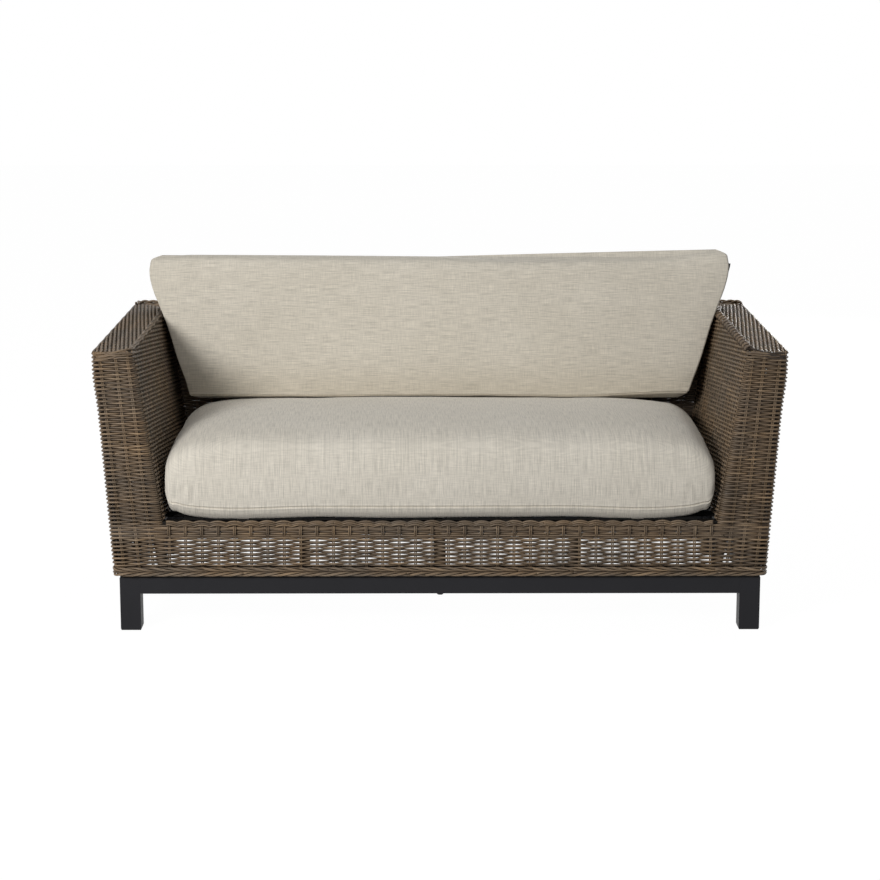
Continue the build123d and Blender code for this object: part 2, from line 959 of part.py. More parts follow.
def back_zip_slider():
    """Slider at the right-hand end of the back cushion's zip."""
    x = back_zip_length / 2 - zip_slider_length
    z = zip_sink - zip_slider_gap
    body = slider_block(zip_slider_length, zip_slider_width, zip_slider_height)
    return back_place() * Pos(x, -back_zip_inset, z) * Rot(180, 0, 0) * body


def back_tab_shape():
    """Small tab sewn into the right-hand side, near the top."""
    z = back_length * tab_level_share
    edge = back_half(tab_level_share)
    y = -back_thickness / 2
    return box(
        edge - tab_root, edge + tab_reach, y - tab_thickness / 2, y + tab_thickness / 2,
        z - tab_length / 2, z + tab_length / 2,
    )


def back_cushion_cover():
    shell = back_form(0) - back_form(cover_thickness)
    return back_place() * (shell - back_zip_slot() - back_tab_shape())


def back_cushion_foam():
    return back_place() * back_form(cover_thickness + foam_clearance)


def back_cushion_tab():
    """The part of the tab outside the cover's hollow."""
    return back_place() * (back_tab_shape() - back_form(cover_thickness))


def build():
    """Every piece by its node's name."""
    outer = outer_shell()
    well = well_shell()
    cap = top_cap()
    right_top = arm_top(cap)
    right_wall = arm_outer_wall(outer)
    right_face = arm_front_face(well)
    right_inner = arm_inner_wall(well)
    legs = {True: leg(True), False: leg(False)}
    feet = [foot(True), foot(False)]
    return {
        "leg_front_right": legs[True],
        "leg_front_left": mirrored(legs[True]),
        "leg_rear_right": legs[False],
        "leg_rear_left": mirrored(legs[False]),
        "leg_feet": Compound(feet + [mirrored(piece) for piece in feet]),
        "base_rail_front": base_rail_front(),
        "base_rail_rear": base_rail_rear(),
        "base_rail_right": base_rail_right(),
        "base_rail_left": mirrored(base_rail_right()),
        "base_cross_tube": base_cross_tube(),
        "base_bolts": base_bolts(),
        "thread_inserts": thread_inserts(),
        "bottom_rail_front": bottom_rail(True),
        "bottom_rail_rear": bottom_rail(False),
        "bottom_rail_sides": pair(bottom_rail_right()),
        "seat_rail_front": seat_rail_front(),
        "seat_rail_rear": seat_rail_rear(),
        "seat_rail_sides": pair(seat_rail_right()),
        "seat_struts": seat_struts(),
        "outer_corner_posts": outer_corner_posts(),
        "outer_mid_posts": outer_mid_posts(),
        "inner_corner_posts": inner_corner_posts(),
        "inner_mid_posts": inner_mid_posts(),
        "outer_top_rail_back": outer_top_rail_back(),
        "outer_top_rail_sides": pair(outer_top_rail_right()),
        "inner_top_rail_back": inner_top_rail_back(),
        "inner_top_rail_sides": pair(inner_top_rail_right()),
        "top_ties": top_ties(),
        "webbing_across": webbing_across(),
        "webbing_lengthwise": webbing_lengthwise(),
        "arm_right_outer_weave": right_wall,
        "arm_left_outer_weave": mirrored(right_wall),
        "arm_right_front_weave": right_face,
        "arm_left_front_weave": mirrored(right_face),
        "arm_right_inner_weave": right_inner,
        "arm_left_inner_weave": mirrored(right_inner),
        "arm_right_top_weave": right_top,
        "arm_left_top_weave": mirrored(right_top),
        "back_outer_weave": back_outer_wall(outer),
        "back_inner_weave": back_inner_wall(well),
        "back_top_weave": back_top(cap),
        "front_apron_weave": front_apron(outer),
        "border_front": border_front(),
        "border_rear": border_rear(),
        "border_sides": pair(border_right()),
        "seat_edge_border": scalloped_border(),
        "arm_edge_cords": pair(arm_edge_cord()),
        "back_edge_cord": back_edge_cord(),
        "rear_edge_cord": rear_edge_cord(),
        "arm_front_wraps": arm_front_wraps(),
        "seat_cushion_cover": seat_cushion_cover(),
        "seat_cushion_foam": seat_cushion_foam(),
        "seat_zip_tape": seat_zip_tape(),
        "seat_zip_slider": seat_zip_slider(),
        "back_cushion_cover": back_cushion_cover(),
        "back_cushion_foam": back_cushion_foam(),
        "back_zip_tape": back_zip_tape(),
        "back_zip_slider": back_zip_slider(),
        "back_cushion_tab": back_cushion_tab(),
    }


os.makedirs("parts", exist_ok=True)
for name, shape in build().items():
    export_step(shape, f"parts/{name}.step")
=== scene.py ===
import bpy
import bmesh
import math
import numpy as np
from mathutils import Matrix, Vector, noise


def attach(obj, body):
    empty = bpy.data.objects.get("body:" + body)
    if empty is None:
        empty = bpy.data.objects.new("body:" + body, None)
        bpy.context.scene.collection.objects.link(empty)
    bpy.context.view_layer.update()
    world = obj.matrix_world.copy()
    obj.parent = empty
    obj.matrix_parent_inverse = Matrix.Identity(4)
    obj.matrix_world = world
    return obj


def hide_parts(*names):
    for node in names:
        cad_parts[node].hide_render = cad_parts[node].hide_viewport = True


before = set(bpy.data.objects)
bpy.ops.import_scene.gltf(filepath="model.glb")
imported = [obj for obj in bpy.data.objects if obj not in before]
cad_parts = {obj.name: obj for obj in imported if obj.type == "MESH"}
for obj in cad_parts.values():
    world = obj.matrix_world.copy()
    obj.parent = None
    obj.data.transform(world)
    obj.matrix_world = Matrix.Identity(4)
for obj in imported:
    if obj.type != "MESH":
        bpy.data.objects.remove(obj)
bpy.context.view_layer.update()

# Metres, in the frame of the imported model. The woven skins are real strands: each wall has a
# grid of weavers in rows and pairs of uprights in columns, counted by one running column number,
# so that the weave goes on over the corners. How deep a strand lies in the weave is painted into
# the cane as shade: 0 where it stands proudest, with a painted highlight, and 1 where it lies
# deepest in the weave, painted darkest.

# The body's outline, as the imported model has it
width, depth, top = 1.658, 0.8725, 0.692
foot, seat_level, border_top = 0.138, 0.276, 0.162
front_y = -0.42675
outer_lean, inner_lean, wall_top = 0.0375, 0.065, 0.096

# Strands
mid = 0.006             # the weave's middle plane behind its outer face
swing = 0.0043          # how far a weaver swings to each side of that plane
closed = 0.00251        # radius of a weaver
upright = 0.0018        # radius of an upright
row_pitch = 0.00495
pair_shift = 0.00195    # half the spacing of a pair of uprights

random = np.random.RandomState(7)
both_sides = ((-1, "left"), (1, "right"))
forward, upward = (0.0, -1.0, 0.0), (0.0, 0.0, 1.0)


def outer_x(z):
    return width / 2 - outer_lean * (top - z) / (top - foot)


def outer_y(z):
    return depth / 2 - outer_lean * (top - z) / (top - foot)


def inner_x(z):
    return width / 2 - wall_top - inner_lean * (top - z) / (top - seat_level)


def inner_y(z):
    return depth / 2 - wall_top - inner_lean * (top - z) / (top - seat_level)


def placed(name, data):
    thing = bpy.data.objects.new(name, data)
    bpy.context.collection.objects.link(thing)
    return thing


# Materials


class Shading:
    """A node tree, with short ways to add the nodes that the looks below are made of."""

    def __init__(self, tree):
        self.tree = tree

    def feed(self, socket, value):
        """Links an output to a socket, or sets a plain value on it."""
        if isinstance(value, bpy.types.NodeSocket):
            self.tree.links.new(value, socket)
        elif socket.type == "RGBA":
            socket.default_value = (*value, 1)
        else:
            socket.default_value = value

    def set(self, node, values):
        for key, value in values.items():
            self.feed(node.inputs[key], value)
        return node

    def add(self, kind, inputs={}, **settings):
        node = self.tree.nodes.new(kind)
        for key, value in settings.items():
            setattr(node, key, value)
        return self.set(node, inputs)

    def math(self, operation, a, b):
        return self.add("ShaderNodeMath", {0: a, 1: b}, operation=operation).outputs[0]

    def scaled(self, place, by):
        node = self.add("ShaderNodeVectorMath", {0: place, 1: by}, operation="MULTIPLY")
        return node.outputs[0]

    def noise(self, place, scale, detail, roughness=0.5):
        inputs = {"Vector": place, "Scale": scale, "Detail": detail, "Roughness": roughness}
        return self.add("ShaderNodeTexNoise", inputs).outputs["Fac"]

    def ramp(self, value, stops):
        """Colours along a value; a single number is a grey."""
        node = self.add("ShaderNodeValToRGB", {0: value})
        elements = node.color_ramp.elements
        while len(elements) < len(stops):
            elements.new(0.5)
        for element, (place, colour) in zip(elements, stops):
            element.position = place
            element.color = (*np.broadcast_to(colour, 3), 1)
        return node.outputs[0]

    def mixed(self, a, b, amount=1.0, mode="MULTIPLY"):
        node = self.add("ShaderNodeMix", data_type="RGBA", blend_type=mode)
        return self.set(node, {0: amount, 6: a, 7: b}).outputs[2]

    def bump(self, height, strength, distance, before=None):
        node = self.add("ShaderNodeBump", {"Height": height, "Strength": strength,
                                           "Distance": distance})
        if before is not None:
            self.feed(node.inputs["Normal"], before)
        return node.outputs["Normal"]

    def attribute(self, name):
        return self.add("ShaderNodeAttribute", attribute_name=name).outputs["Fac"]

    def place(self):
        return self.add("ShaderNodeTexCoord").outputs["Object"]

    def seen(self):
        """1 for rays from the camera and for reflections, 0 for light on its way."""
        path = self.add("ShaderNodeLightPath").outputs
        rays = self.math("MAXIMUM", path["Is Camera Ray"], path["Is Glossy Ray"])
        return self.math("MAXIMUM", rays, path["Is Transmission Ray"])

    def backdrop(self, output, lit, shown, share):
        mix = self.add("ShaderNodeMixShader", {0: share, 1: lit.outputs[0], 2: shown.outputs[0]})
        self.add(output, {"Surface": mix.outputs[0]})


def material_of(name):
    material = bpy.data.materials.new(name)
    material.use_nodes = True
    return material, Shading(material.node_tree), material.node_tree.nodes["Principled BSDF"]


def srgb(*values):
    shares = [v / 255 for v in values]
    return tuple(v / 12.92 if v < 11 / 255 else ((v + 0.055) / 1.055) ** 2.4 for v in shares)


def shade(colour, by):
    return tuple(np.multiply(colour, by))


def cane_material(name, tint):
    """Round resin cane: each strand its own shade, with streaks and fine grooves along it."""
    material, paint, shader = material_of(name)
    place = paint.add("ShaderNodeUVMap", uv_map="Strand").outputs["UV"]
    island = paint.add("ShaderNodeNewGeometry").outputs["Random Per Island"]
    colour = paint.ramp(island, [
        (0.0, shade(tint, 0.60)), (0.28, shade(tint, 0.84)), (0.62, tint),
        (0.86, shade(tint, 1.22)), (1.0, shade(tint, (1.42, 1.42, 1.38))),
    ])
    streak = paint.noise(paint.scaled(place, (14.0, 2.0, 1.0)), 1.0, 3.0, 0.6)
    colour = paint.mixed(colour, paint.ramp(streak, [
        (0.32, (0.66, 0.64, 0.62)), (0.5, 1.0), (0.68, (1.24, 1.22, 1.2)),
    ]))
    patch = paint.noise(paint.place(), 9.0, 2.0)
    warm = [(0.36, (0.9, 0.93, 0.98)), (0.64, (1.07, 1.01, 0.92))]
    colour = paint.mixed(colour, paint.ramp(patch, warm))
    # Painted shade and highlight: darker, down to near black, the deeper the cane lies in the
    # weave, and lighter where it stands proudest
    colour = paint.mixed(colour, paint.ramp(paint.attribute("painted_shade"), [
        (0.0, (1.22, 1.22, 1.21)), (0.20, 1.02), (0.34, (0.84, 0.83, 0.82)),
        (0.48, (0.54, 0.52, 0.50)), (0.60, (0.18, 0.16, 0.15)), (1.0, (0.07, 0.06, 0.05)),
    ]))
    worn = paint.noise(paint.scaled(place, (60.0, 6.0, 1.0)), 1.0, 2.0)
    groove = paint.noise(paint.scaled(place, (30.0, 11.0, 1.0)), 1.0, 2.0)
    paint.set(shader, {
        "Base Color": colour, "Roughness": paint.ramp(worn, [(0.3, 0.4), (0.7, 0.58)]),
        "Normal": paint.bump(groove, 0.35, 0.0005), "Specular IOR Level": 0.36,
    })
    return material


def metal_material(name, colour, rough, peel=0.25):
    """Powder coat or plain metal with a fine orange-peel and a few paler worn specks."""
    material, paint, shader = material_of(name)
    place = paint.place()
    cloud = paint.noise(place, 6.0, 4.0, 0.6)
    tone = paint.ramp(cloud, [(0.3, shade(colour, 0.9)), (0.7, shade(colour, 1.12))])
    worn = paint.ramp(paint.noise(place, 55.0, 4.0, 0.7), [(0.64, 0.0), (0.78, 0.35)])
    paint.set(shader, {
        "Base Color": paint.mixed(tone, shade(colour, 1.7), worn, "MIX"),
        "Roughness": paint.ramp(cloud, [(0.3, rough - 0.06), (0.7, rough + 0.06)]),
        "Normal": paint.bump(paint.noise(place, 900.0, 2.0), peel, 0.0002),
        "Specular IOR Level": 0.16,
    })
    return material


def cloth_material(name, colour, across, along, sheen=0.18):
    """Plain slub cloth. across and along are weights of x, y and z that give the place on the
    piece in the two thread directions. The "seam" attribute darkens the seams and, where it is
    given, paints shade at a cushion's foot."""
    material, paint, shader = material_of(name)
    place = paint.place()
    axes = paint.add("ShaderNodeSeparateXYZ", {0: place}).outputs

    def line(weights):
        terms = [paint.math("MULTIPLY", axis, weight)
                 for axis, weight in zip(axes, weights) if weight]
        return terms[0] if len(terms) == 1 else paint.math("ADD", *terms)

    flat = paint.add("ShaderNodeCombineXYZ", {0: line(across), 1: line(along)}).outputs[0]
    slub = paint.noise(paint.scaled(flat, (430.0, 19.0, 1.0)), 1.0, 3.0, 0.7)
    cross = paint.noise(paint.scaled(flat, (30.0, 520.0, 1.0)), 1.0, 2.0, 0.6)
    tone = paint.ramp(slub, [
        (0.30, shade(colour, 0.76)), (0.5, colour), (0.70, shade(colour, 1.16)),
    ])
    tone = paint.mixed(tone, paint.ramp(cross, [(0.3, 0.89), (0.7, 1.08)]))
    cloud = paint.noise(place, 5.0, 3.0, 0.5)
    tone = paint.mixed(tone, paint.ramp(cloud, [(0.35, (0.975, 0.972, 0.965)), (0.65, 1.015)]))
    # Darker along the seams, and painted shade at the back cushion's foot
    darkening = [(0.0, 1.0), (0.5, (0.86, 0.84, 0.80)), (1.0, (0.50, 0.47, 0.42))]
    tone = paint.mixed(tone, paint.ramp(paint.attribute("seam"), darkening))
    threads = [
        paint.add("ShaderNodeTexWave", {"Vector": flat, "Scale": 190.0, "Distortion": 1.2,
                                        "Detail": 1.0},
                  wave_type="BANDS", bands_direction=way).outputs["Fac"]
        for way in "XY"
    ]
    weave = paint.bump(paint.math("MULTIPLY", *threads), 0.25, 0.0004)
    paint.set(shader, {
        "Base Color": tone, "Roughness": paint.ramp(slub, [(0.3, 0.86), (0.7, 0.96)]),
        "Normal": paint.bump(slub, 0.3, 0.0006, weave),
        "Sheen Weight": sheen, "Sheen Roughness": 0.5, "Specular IOR Level": sheen,
    })
    return material


along_x, along_y, along_yz = (1.0, 0.0, 0.0), (0.0, 1.0, 0.0), (0.0, 1.0, 1.0)
cane = cane_material("cane", srgb(112, 96, 78))
coat = metal_material("black_powder_coat", srgb(33, 33, 36), 0.5)
frame_coat = metal_material("brown_powder_coat", srgb(24, 21, 18), 0.6)
plug_plastic = metal_material("foot_plastic", srgb(38, 38, 38), 0.55, 0.5)
bolt_metal = metal_material("bolt_metal", srgb(70, 70, 72), 0.38, 0.1)
slider_metal = metal_material("slider_metal", srgb(150, 142, 128), 0.35, 0.1)
seat_cloth = cloth_material("seat_cloth", srgb(214, 208, 196), (1.0, 0.02, 0.0), (0.0, 1.0, -1.0))
back_cloth = cloth_material("back_cloth", srgb(214, 207, 193), (0.0, 0.3, 1.0), along_x)
tape_cloth = cloth_material("tape_cloth", srgb(196, 186, 168), along_x, along_yz)
tab_cloth = cloth_material("tab_cloth", srgb(26, 26, 26), along_x, along_yz)
strap_cloth = cloth_material("strap_cloth", srgb(13, 12, 11), along_x, along_y, 0.02)


# Tubes


def unit(v):
    return v / np.maximum(np.linalg.norm(v, axis=-1, keepdims=True), 1e-9)


def xyz(x, y, z):
    """Points from coordinates, each an array or one number for all."""
    return np.stack(np.broadcast_arrays(x, y, z), axis=1)


def facing(direction, count):
    return np.tile(np.array(direction, float), (count, 1))


def face_corners(u0, u1, v0, v1):
    """Picture places of the four corners of the faces, for faces along and round the strands."""
    corners = np.zeros((len(u0), v0.shape[-1], 4, 2))
    corners[:, :, :2, 0] = u0[:, None, None]
    corners[:, :, 2:, 0] = u1[:, None, None]
    corners[:, :, ::3, 1] = v0[..., None]
    corners[:, :, 1:3, 1] = v1[..., None]
    return corners.reshape(-1)


def cap_corners(u, v):
    return np.stack(np.broadcast_arrays(u, v), axis=-1).reshape(-1)


def tube_piece(name, strands, sides):
    """One mesh of many round strands, each (points, normals, radius, painted shade)."""
    points = np.concatenate([s[0] for s in strands])
    normals = np.concatenate([s[1] for s in strands])
    radii = np.concatenate([np.full(len(s[0]), s[2]) for s in strands])
    painted_shade = np.concatenate([np.broadcast_to(s[3], len(s[0])) for s in strands])
    counts = np.array([len(s[0]) for s in strands])
    starts = np.concatenate([[0], np.cumsum(counts)[:-1]])
    ends = starts + counts - 1
    total = len(points)
    ahead = np.minimum(np.arange(total) + 1, total - 1)
    behind = np.maximum(np.arange(total) - 1, 0)
    ahead[ends] = ends
    behind[starts] = starts
    along = unit(points[ahead] - points[behind])
    side = unit(np.cross(along, normals))
    out = np.cross(side, along)
    angle = 2 * np.pi * np.arange(sides) / sides
    cos, sin = np.cos(angle)[None, :, None], np.sin(angle)[None, :, None]
    ring = cos * out[:, None, :] + sin * side[:, None, :]
    vertices = (points[:, None, :] + ring * radii[:, None, None]).reshape(-1, 3)

    k = np.arange(sides)
    k2 = (k + 1) % sides
    is_segment = np.ones(total, bool)
    is_segment[ends] = False
    first = np.nonzero(is_segment)[0]
    near, far = first[:, None] * sides, (first[:, None] + 1) * sides
    quads = np.stack([near + k, near + k2, far + k2, far + k], axis=-1).reshape(-1)
    caps = np.concatenate([starts[:, None] * sides + k[::-1], ends[:, None] * sides + k])
    loops = np.concatenate([quads, caps.reshape(-1)]).astype(np.int32)
    quad_count, cap_count = len(first) * sides, len(caps)
    loop_start = np.concatenate([
        np.arange(quad_count) * 4, quad_count * 4 + np.arange(cap_count) * sides,
    ]).astype(np.int32)
    mesh = bpy.data.meshes.new(name)
    mesh.vertices.add(len(vertices))
    mesh.vertices.foreach_set("co", vertices.reshape(-1))
    mesh.loops.add(len(loops))
    mesh.loops.foreach_set("vertex_index", loops)
    mesh.polygons.add(len(loop_start))
    mesh.polygons.foreach_set("loop_start", loop_start)
    mesh.polygons.foreach_set("use_smooth", np.ones(len(loop_start), bool))

    # Along and round each strand, for the cane's streaks
    length = np.cumsum(np.linalg.norm(points - points[behind], axis=1))
    v0, v1 = k / sides, (k + 1) / sides
    cap_length = np.concatenate([length[starts], length[ends]])
    layer = mesh.uv_layers.new(name="Strand")
    layer.data.foreach_set("uv", np.concatenate([
        face_corners(length[first], length[first + 1], v0, v1),
        cap_corners(cap_length[:, None], v0),
    ]))

    # The same faces laid out in rows inside the unit square, without overlaps
    cells = len(first) + cap_count
    per_row = int(math.ceil(math.sqrt(cells * 1.25)))
    rows = int(math.ceil(cells / per_row))
    column, row = np.arange(cells) % per_row, np.arange(cells) // per_row
    low_u, high_u = column / per_row, (column + 1) / per_row
    base_v, tall = row[:, None] / rows, 0.92 / rows
    n = len(first)
    middle_u = (low_u[n:, None] + high_u[n:, None]) / 2
    cap_reach = 0.35
    layer = mesh.uv_layers.new(name="OFBake")
    layer.data.foreach_set("uv", np.concatenate([
        face_corners(low_u[:n], high_u[:n], base_v[:n] + tall * v0, base_v[:n] + tall * v1),
        cap_corners(middle_u + np.cos(angle) * cap_reach / per_row,
                    base_v[n:] + tall / 2 + np.sin(angle) * cap_reach / rows),
    ]))
    mesh.update(calc_edges=True)
    mesh.validate()
    # Painted shade for the cane: the strand's own, and darker round each tube away from its outer
    # face
    deep = 0.62 * painted_shade[:, None] + 0.19 * (1 - np.cos(angle))
    shadow = mesh.attributes.new("painted_shade", "FLOAT", "POINT")
    shadow.data.foreach_set("value", deep.reshape(-1).astype(np.float32))
    mesh.materials.append(cane)
    return placed(name, mesh)


def woven(name, strands, nodes, sides=6):
    piece = tube_piece(name, strands, sides)
    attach(piece, "frame")
    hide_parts(*nodes)
    return piece


def cut_up(points, normals, radius, least, most, painted_shade):
    """A long run as separate strands that meet end to end, each to have its own shade."""
    strands = []
    painted_shade = np.broadcast_to(painted_shade, len(points))
    start = 0
    last = len(points) - 1
    shortest = 6
    while start < last:
        stop = min(last, start + random.randint(least, most))
        if last - stop < shortest:
            stop = last
        part = slice(start, stop + 1)
        strands.append((points[part], normals[part], radius, painted_shade[part]))
        start = stop
    return strands


# Walls: a wall is a function of height that gives its path as knots (column, x, y, nx, ny)

front_plane = front_y + mid
arm_from = 0.2656       # rows above this turn back at each arm's inner edge
corner, inner_corner, rear_corner = 0.006, 0.012, 0.012
side_columns, inner_columns, rail_columns, rear_columns = 21, 18, 34, 40
corner_from, arm_to = -0.4, 2.6                 # columns where an arm's front starts and ends
side_to, inner_to = -0.3 - side_columns, 2.36 + inner_columns
rear_turn, inner_turn = 0.2, 0.14               # half the columns that a corner of the back takes
apron_right = rail_columns + 5      # the right arm's outermost column, seen in front
rail_half = 0.6574                              # the outermost pairs between the arms
rail_pitch = 2 * rail_half / (rail_columns - 1)

# The apron's see-through rows
open_above, open_below, open_swing, open_radius = 0.1690, 0.2325, 0.0060, 0.00262


def side_plane(z):
    """The middle plane of an outer side wall, fuller just below the top."""
    return outer_x(z) - 0.0018 + 0.0042 * math.exp(-((z - 0.625) / 0.055) ** 2)


def arm_columns(z):
    """Where the three pairs of an arm's front stand, from the outer edge inward."""
    t = (z - border_top) / (top - border_top)
    return [0.7689 + 0.0458 * t, 0.7317 + 0.0451 * t, 0.6972 + 0.0515 * t]


def arc_knots(cx, cy, radius, a0, a1, c0, c1):
    steps = 4
    knots = []
    for i in range(steps + 1):
        t = i / steps
        a = math.radians(a0 + (a1 - a0) * t)
        nx, ny = math.cos(a), math.sin(a)
        knots.append((c0 + (c1 - c0) * t, cx + radius * nx, cy + radius * ny, nx, ny))
    return knots


def on_side(side, knots):
    return [(c, side * x, y, side * nx, ny) for c, x, y, nx, ny in knots]


def front_knots(z, side):
    """Front of one arm from its outer corner to its inner edge; side is -1 for the left one."""
    columns = arm_columns(z)
    knots = arc_knots(side_plane(z) - corner, front_plane + corner, corner, 0, -90,
                      corner_from, -0.08)
    knots += [(i, x, front_plane, 0, -1) for i, x in enumerate(columns)]
    if z > arm_from:
        inner = inner_x(z) + mid
        gap = columns[2] - inner - inner_corner
        turn = 2 + min(0.36, max(0.1, gap / 0.04))
        knots += arc_knots(inner + inner_corner, front_plane + inner_corner, inner_corner,
                           -90, -180, turn, arm_to)
    return on_side(side, knots)


def apron_knots(z):
    """The whole front below the seat, from the left outer corner to the right one."""
    middle = [(3 + i, -rail_half + i * rail_pitch, front_plane, 0, -1)
              for i in range(rail_columns)]
    right = [(apron_right - c, x, y, nx, ny) for c, x, y, nx, ny in front_knots(z, 1)]
    return front_knots(z, -1) + middle + right[::-1]


def side_knots(z, side):
    """Outer side wall from the front corner to the rear one."""
    edge = side_plane(z)
    length = outer_y(z) - mid - front_plane
    last = length / side_columns * (side_columns - 0.5)
    places = ((corner_from, corner), (-1, 0.012), (-side_columns, last),
              (side_to, length - rear_corner))
    return on_side(side, [(c, edge, front_plane + along, 1, 0) for c, along in places])


def two_corners(cx, cy, radius, turn, columns):
    """Both corners of a back wall, from left to right."""
    return (arc_knots(-cx, cy, radius, 180, 90, -turn, turn)
            + arc_knots(cx, cy, radius, 90, 0, columns - turn, columns + turn))


def rear_knots(z):
    """Rear wall with both rear corners."""
    return two_corners(side_plane(z) - rear_corner, outer_y(z) - mid - rear_corner, rear_corner,
                       rear_turn, rear_columns)


def inner_side_knots(z, side):
    """Inner wall of an arm from its front edge to the corner with the back."""
    edge = inner_x(z) + mid
    length = inner_y(z) + mid - front_plane
    pitch = length / inner_columns
    places = ((arm_to, inner_corner), (3, pitch / 2), (2 + inner_columns, length - pitch / 2),
              (inner_to, length - corner))
    return on_side(side, [(c, edge, front_plane + along, -1, 0) for c, along in places])


def inner_back_knots(z):
    """Inner wall of the back with its inward corners."""
    knots = two_corners(inner_x(z) + mid - corner, inner_y(z) + mid - corner, corner, inner_turn,
                        rail_columns)
    return [(c, x, y, -nx, -ny) for c, x, y, nx, ny in knots]


def on_wall(knots, columns):
    """Points and outward directions at given column numbers."""
    table = np.array(knots, float)
    table = table[np.argsort(table[:, 0], kind="stable")]
    return [np.interp(columns, table[:, 0], table[:, i]) for i in (1, 2, 3, 4)]


def steep(wave, bend):
    """A weaver lies near the middle plane between the pairs and swings out close to them."""
    return np.sign(wave) * np.abs(wave) ** bend


def weaver_at(name, z):
    """A wall's weavers at a height: swing, radius, share of their unevenness, steepness."""
    if name == "back_inner_cane":
        return swing * 0.3, 0.0028, 0.1, 1.3
    if name == "apron_cane":
        if open_above < z < open_below:
            return open_swing, open_radius, 1.0, 1.9
        return swing * 0.3, 0.0027, 0.2, 2.3
    if "inner" in name:
        return swing * 1.1, 0.00267, 1.0, 1.3
    if "outer" in name:
        return swing, 0.00262, 1.0, 2.3
    return swing * 0.85, closed, 1.0, 2.3


def wall(name, knots_at, node, low, high, c0, c1, phase=0, sides=6, extra=(), cuts=(60, 260)):
    """Rows of weavers from low to high over pairs of uprights between columns c0 and c1."""
    per_column = 4
    columns = np.arange(math.ceil(c0 * per_column), math.floor(c1 * per_column) + 1) / per_column
    columns = np.unique(np.round(np.concatenate([[c0], columns, [c1], list(extra)]), 4))
    flat, apron = name == "back_inner_cane", name == "apron_cane"
    strands = []
    first = int(math.ceil((low - border_top) / row_pitch - 0.5))
    last = int(math.floor((high - border_top) / row_pitch - 0.5))
    for row in range(first, last + 1):
        z = border_top + (row + 0.5) * row_pitch
        x, y, nx, ny = on_wall(knots_at(z), columns)
        wander = random.uniform(-0.00045, 0.00045, 9)
        lift = 0.00035 * np.sin(columns * 2.1 + row * 1.7)
        lift = lift + np.interp(columns, np.linspace(c0, c1, len(wander)), wander)
        if apron:
            wander = random.uniform(-0.0009, 0.0009, 31)
            lift = lift * 0.3 + np.interp(columns, np.linspace(c0, c1, len(wander)), wander)
        reach, thick, even, bend = weaver_at(name, z)
        wave = steep(np.cos(np.pi * (columns + row + phase)), bend)
        # Painted shade, darker where a weaver lies deep; the back's inner wall, in shade behind the
        # cushions, is painted darker all over
        painted_shade = (1 - wave) / 4 + 0.35 if flat else (1 - wave) / 2
        push = reach * wave * (1 + random.uniform(-0.06, 0.06))
        points = xyz(x + nx * push, y + ny * push, z + lift * even)
        strands += cut_up(points, xyz(nx, ny, 0.0), thick * random.uniform(0.97, 1.02), *cuts,
                          np.clip(painted_shade, 0, 1))
    past = 0.004            # the uprights stand past the rows
    for column in range(int(math.ceil(c0)), int(math.floor(c1)) + 1):
        near = np.array([column - 0.05, column, column + 0.05])
        levels = [(on_wall(knots_at(z), near), z) for z in (low - past, high + past)]
        out = facing([levels[0][0][2][1], levels[0][0][3][1], 0.0], 3)
        for way in (-pair_shift, pair_shift):
            ends = []
            for (x, y, nx, ny), z in levels:
                dx, dy = unit(np.array([x[2] - x[0], y[2] - y[0]]))
                ends.append(np.array([x[1] + way * dx, y[1] + way * dy, z]))
            points = ends[0] + (ends[1] - ends[0]) * np.linspace(0, 1, 3)[:, None]
            strands.append((points, out, upright, 0.0))
    woven(name, strands, [node], sides)


skin_top, front_top = 0.6855, 0.6775
round_corner = (-0.32, -0.24, -0.16, -0.08)
for side, word in both_sides:
    wall(f"arm_{word}_front_cane", lambda z: front_knots(z, side), f"arm_{word}_front_weave",
         arm_from, front_top, corner_from, arm_to, extra=(*round_corner, 2.4, 2.5), cuts=(5, 30))
    wall(f"arm_{word}_outer_cane", lambda z: side_knots(z, side), f"arm_{word}_outer_weave",
         border_top, skin_top, side_to, corner_from)
    wall(f"arm_{word}_inner_cane", lambda z: inner_side_knots(z, side),
         f"arm_{word}_inner_weave", seat_level, skin_top, arm_to, inner_to)
wall("apron_cane", apron_knots, "front_apron_weave", border_top, arm_from, corner_from,
     apron_right - corner_from, extra=(*round_corner, *(apron_right - c for c in round_corner)))
wall("back_outer_cane", rear_knots, "back_outer_weave", border_top, skin_top, -rear_turn,
     rear_columns + rear_turn, phase=-side_columns, sides=5,
     extra=(-0.1, 0.1, rear_columns - 0.1, rear_columns + 0.1))
wall("back_inner_cane", inner_back_knots, "back_inner_weave", seat_level, skin_top, -inner_turn,
     rail_columns + inner_turn, sides=5,
     extra=(-0.07, 0.07, rail_columns - 0.07, rail_columns + 0.07))


# Tops: weavers follow the walls round the sofa, pairs of uprights cross them

top_plane = top - mid
top_rows, top_edge, top_steepness = 17, 0.0035, 1.3


def fade(distance):
    t = np.clip(distance / 0.02, 0, 1)
    return t * t * (3 - 2 * t)


def crossing(x0, y0, x1, y1):
    """An upright that lies across a top."""
    points = np.array([[x0, y0, top_plane], [x1, y1, top_plane]])
    # A little painted shade on the uprights across the top
    return points, facing(upward, 2), upright, 0.1


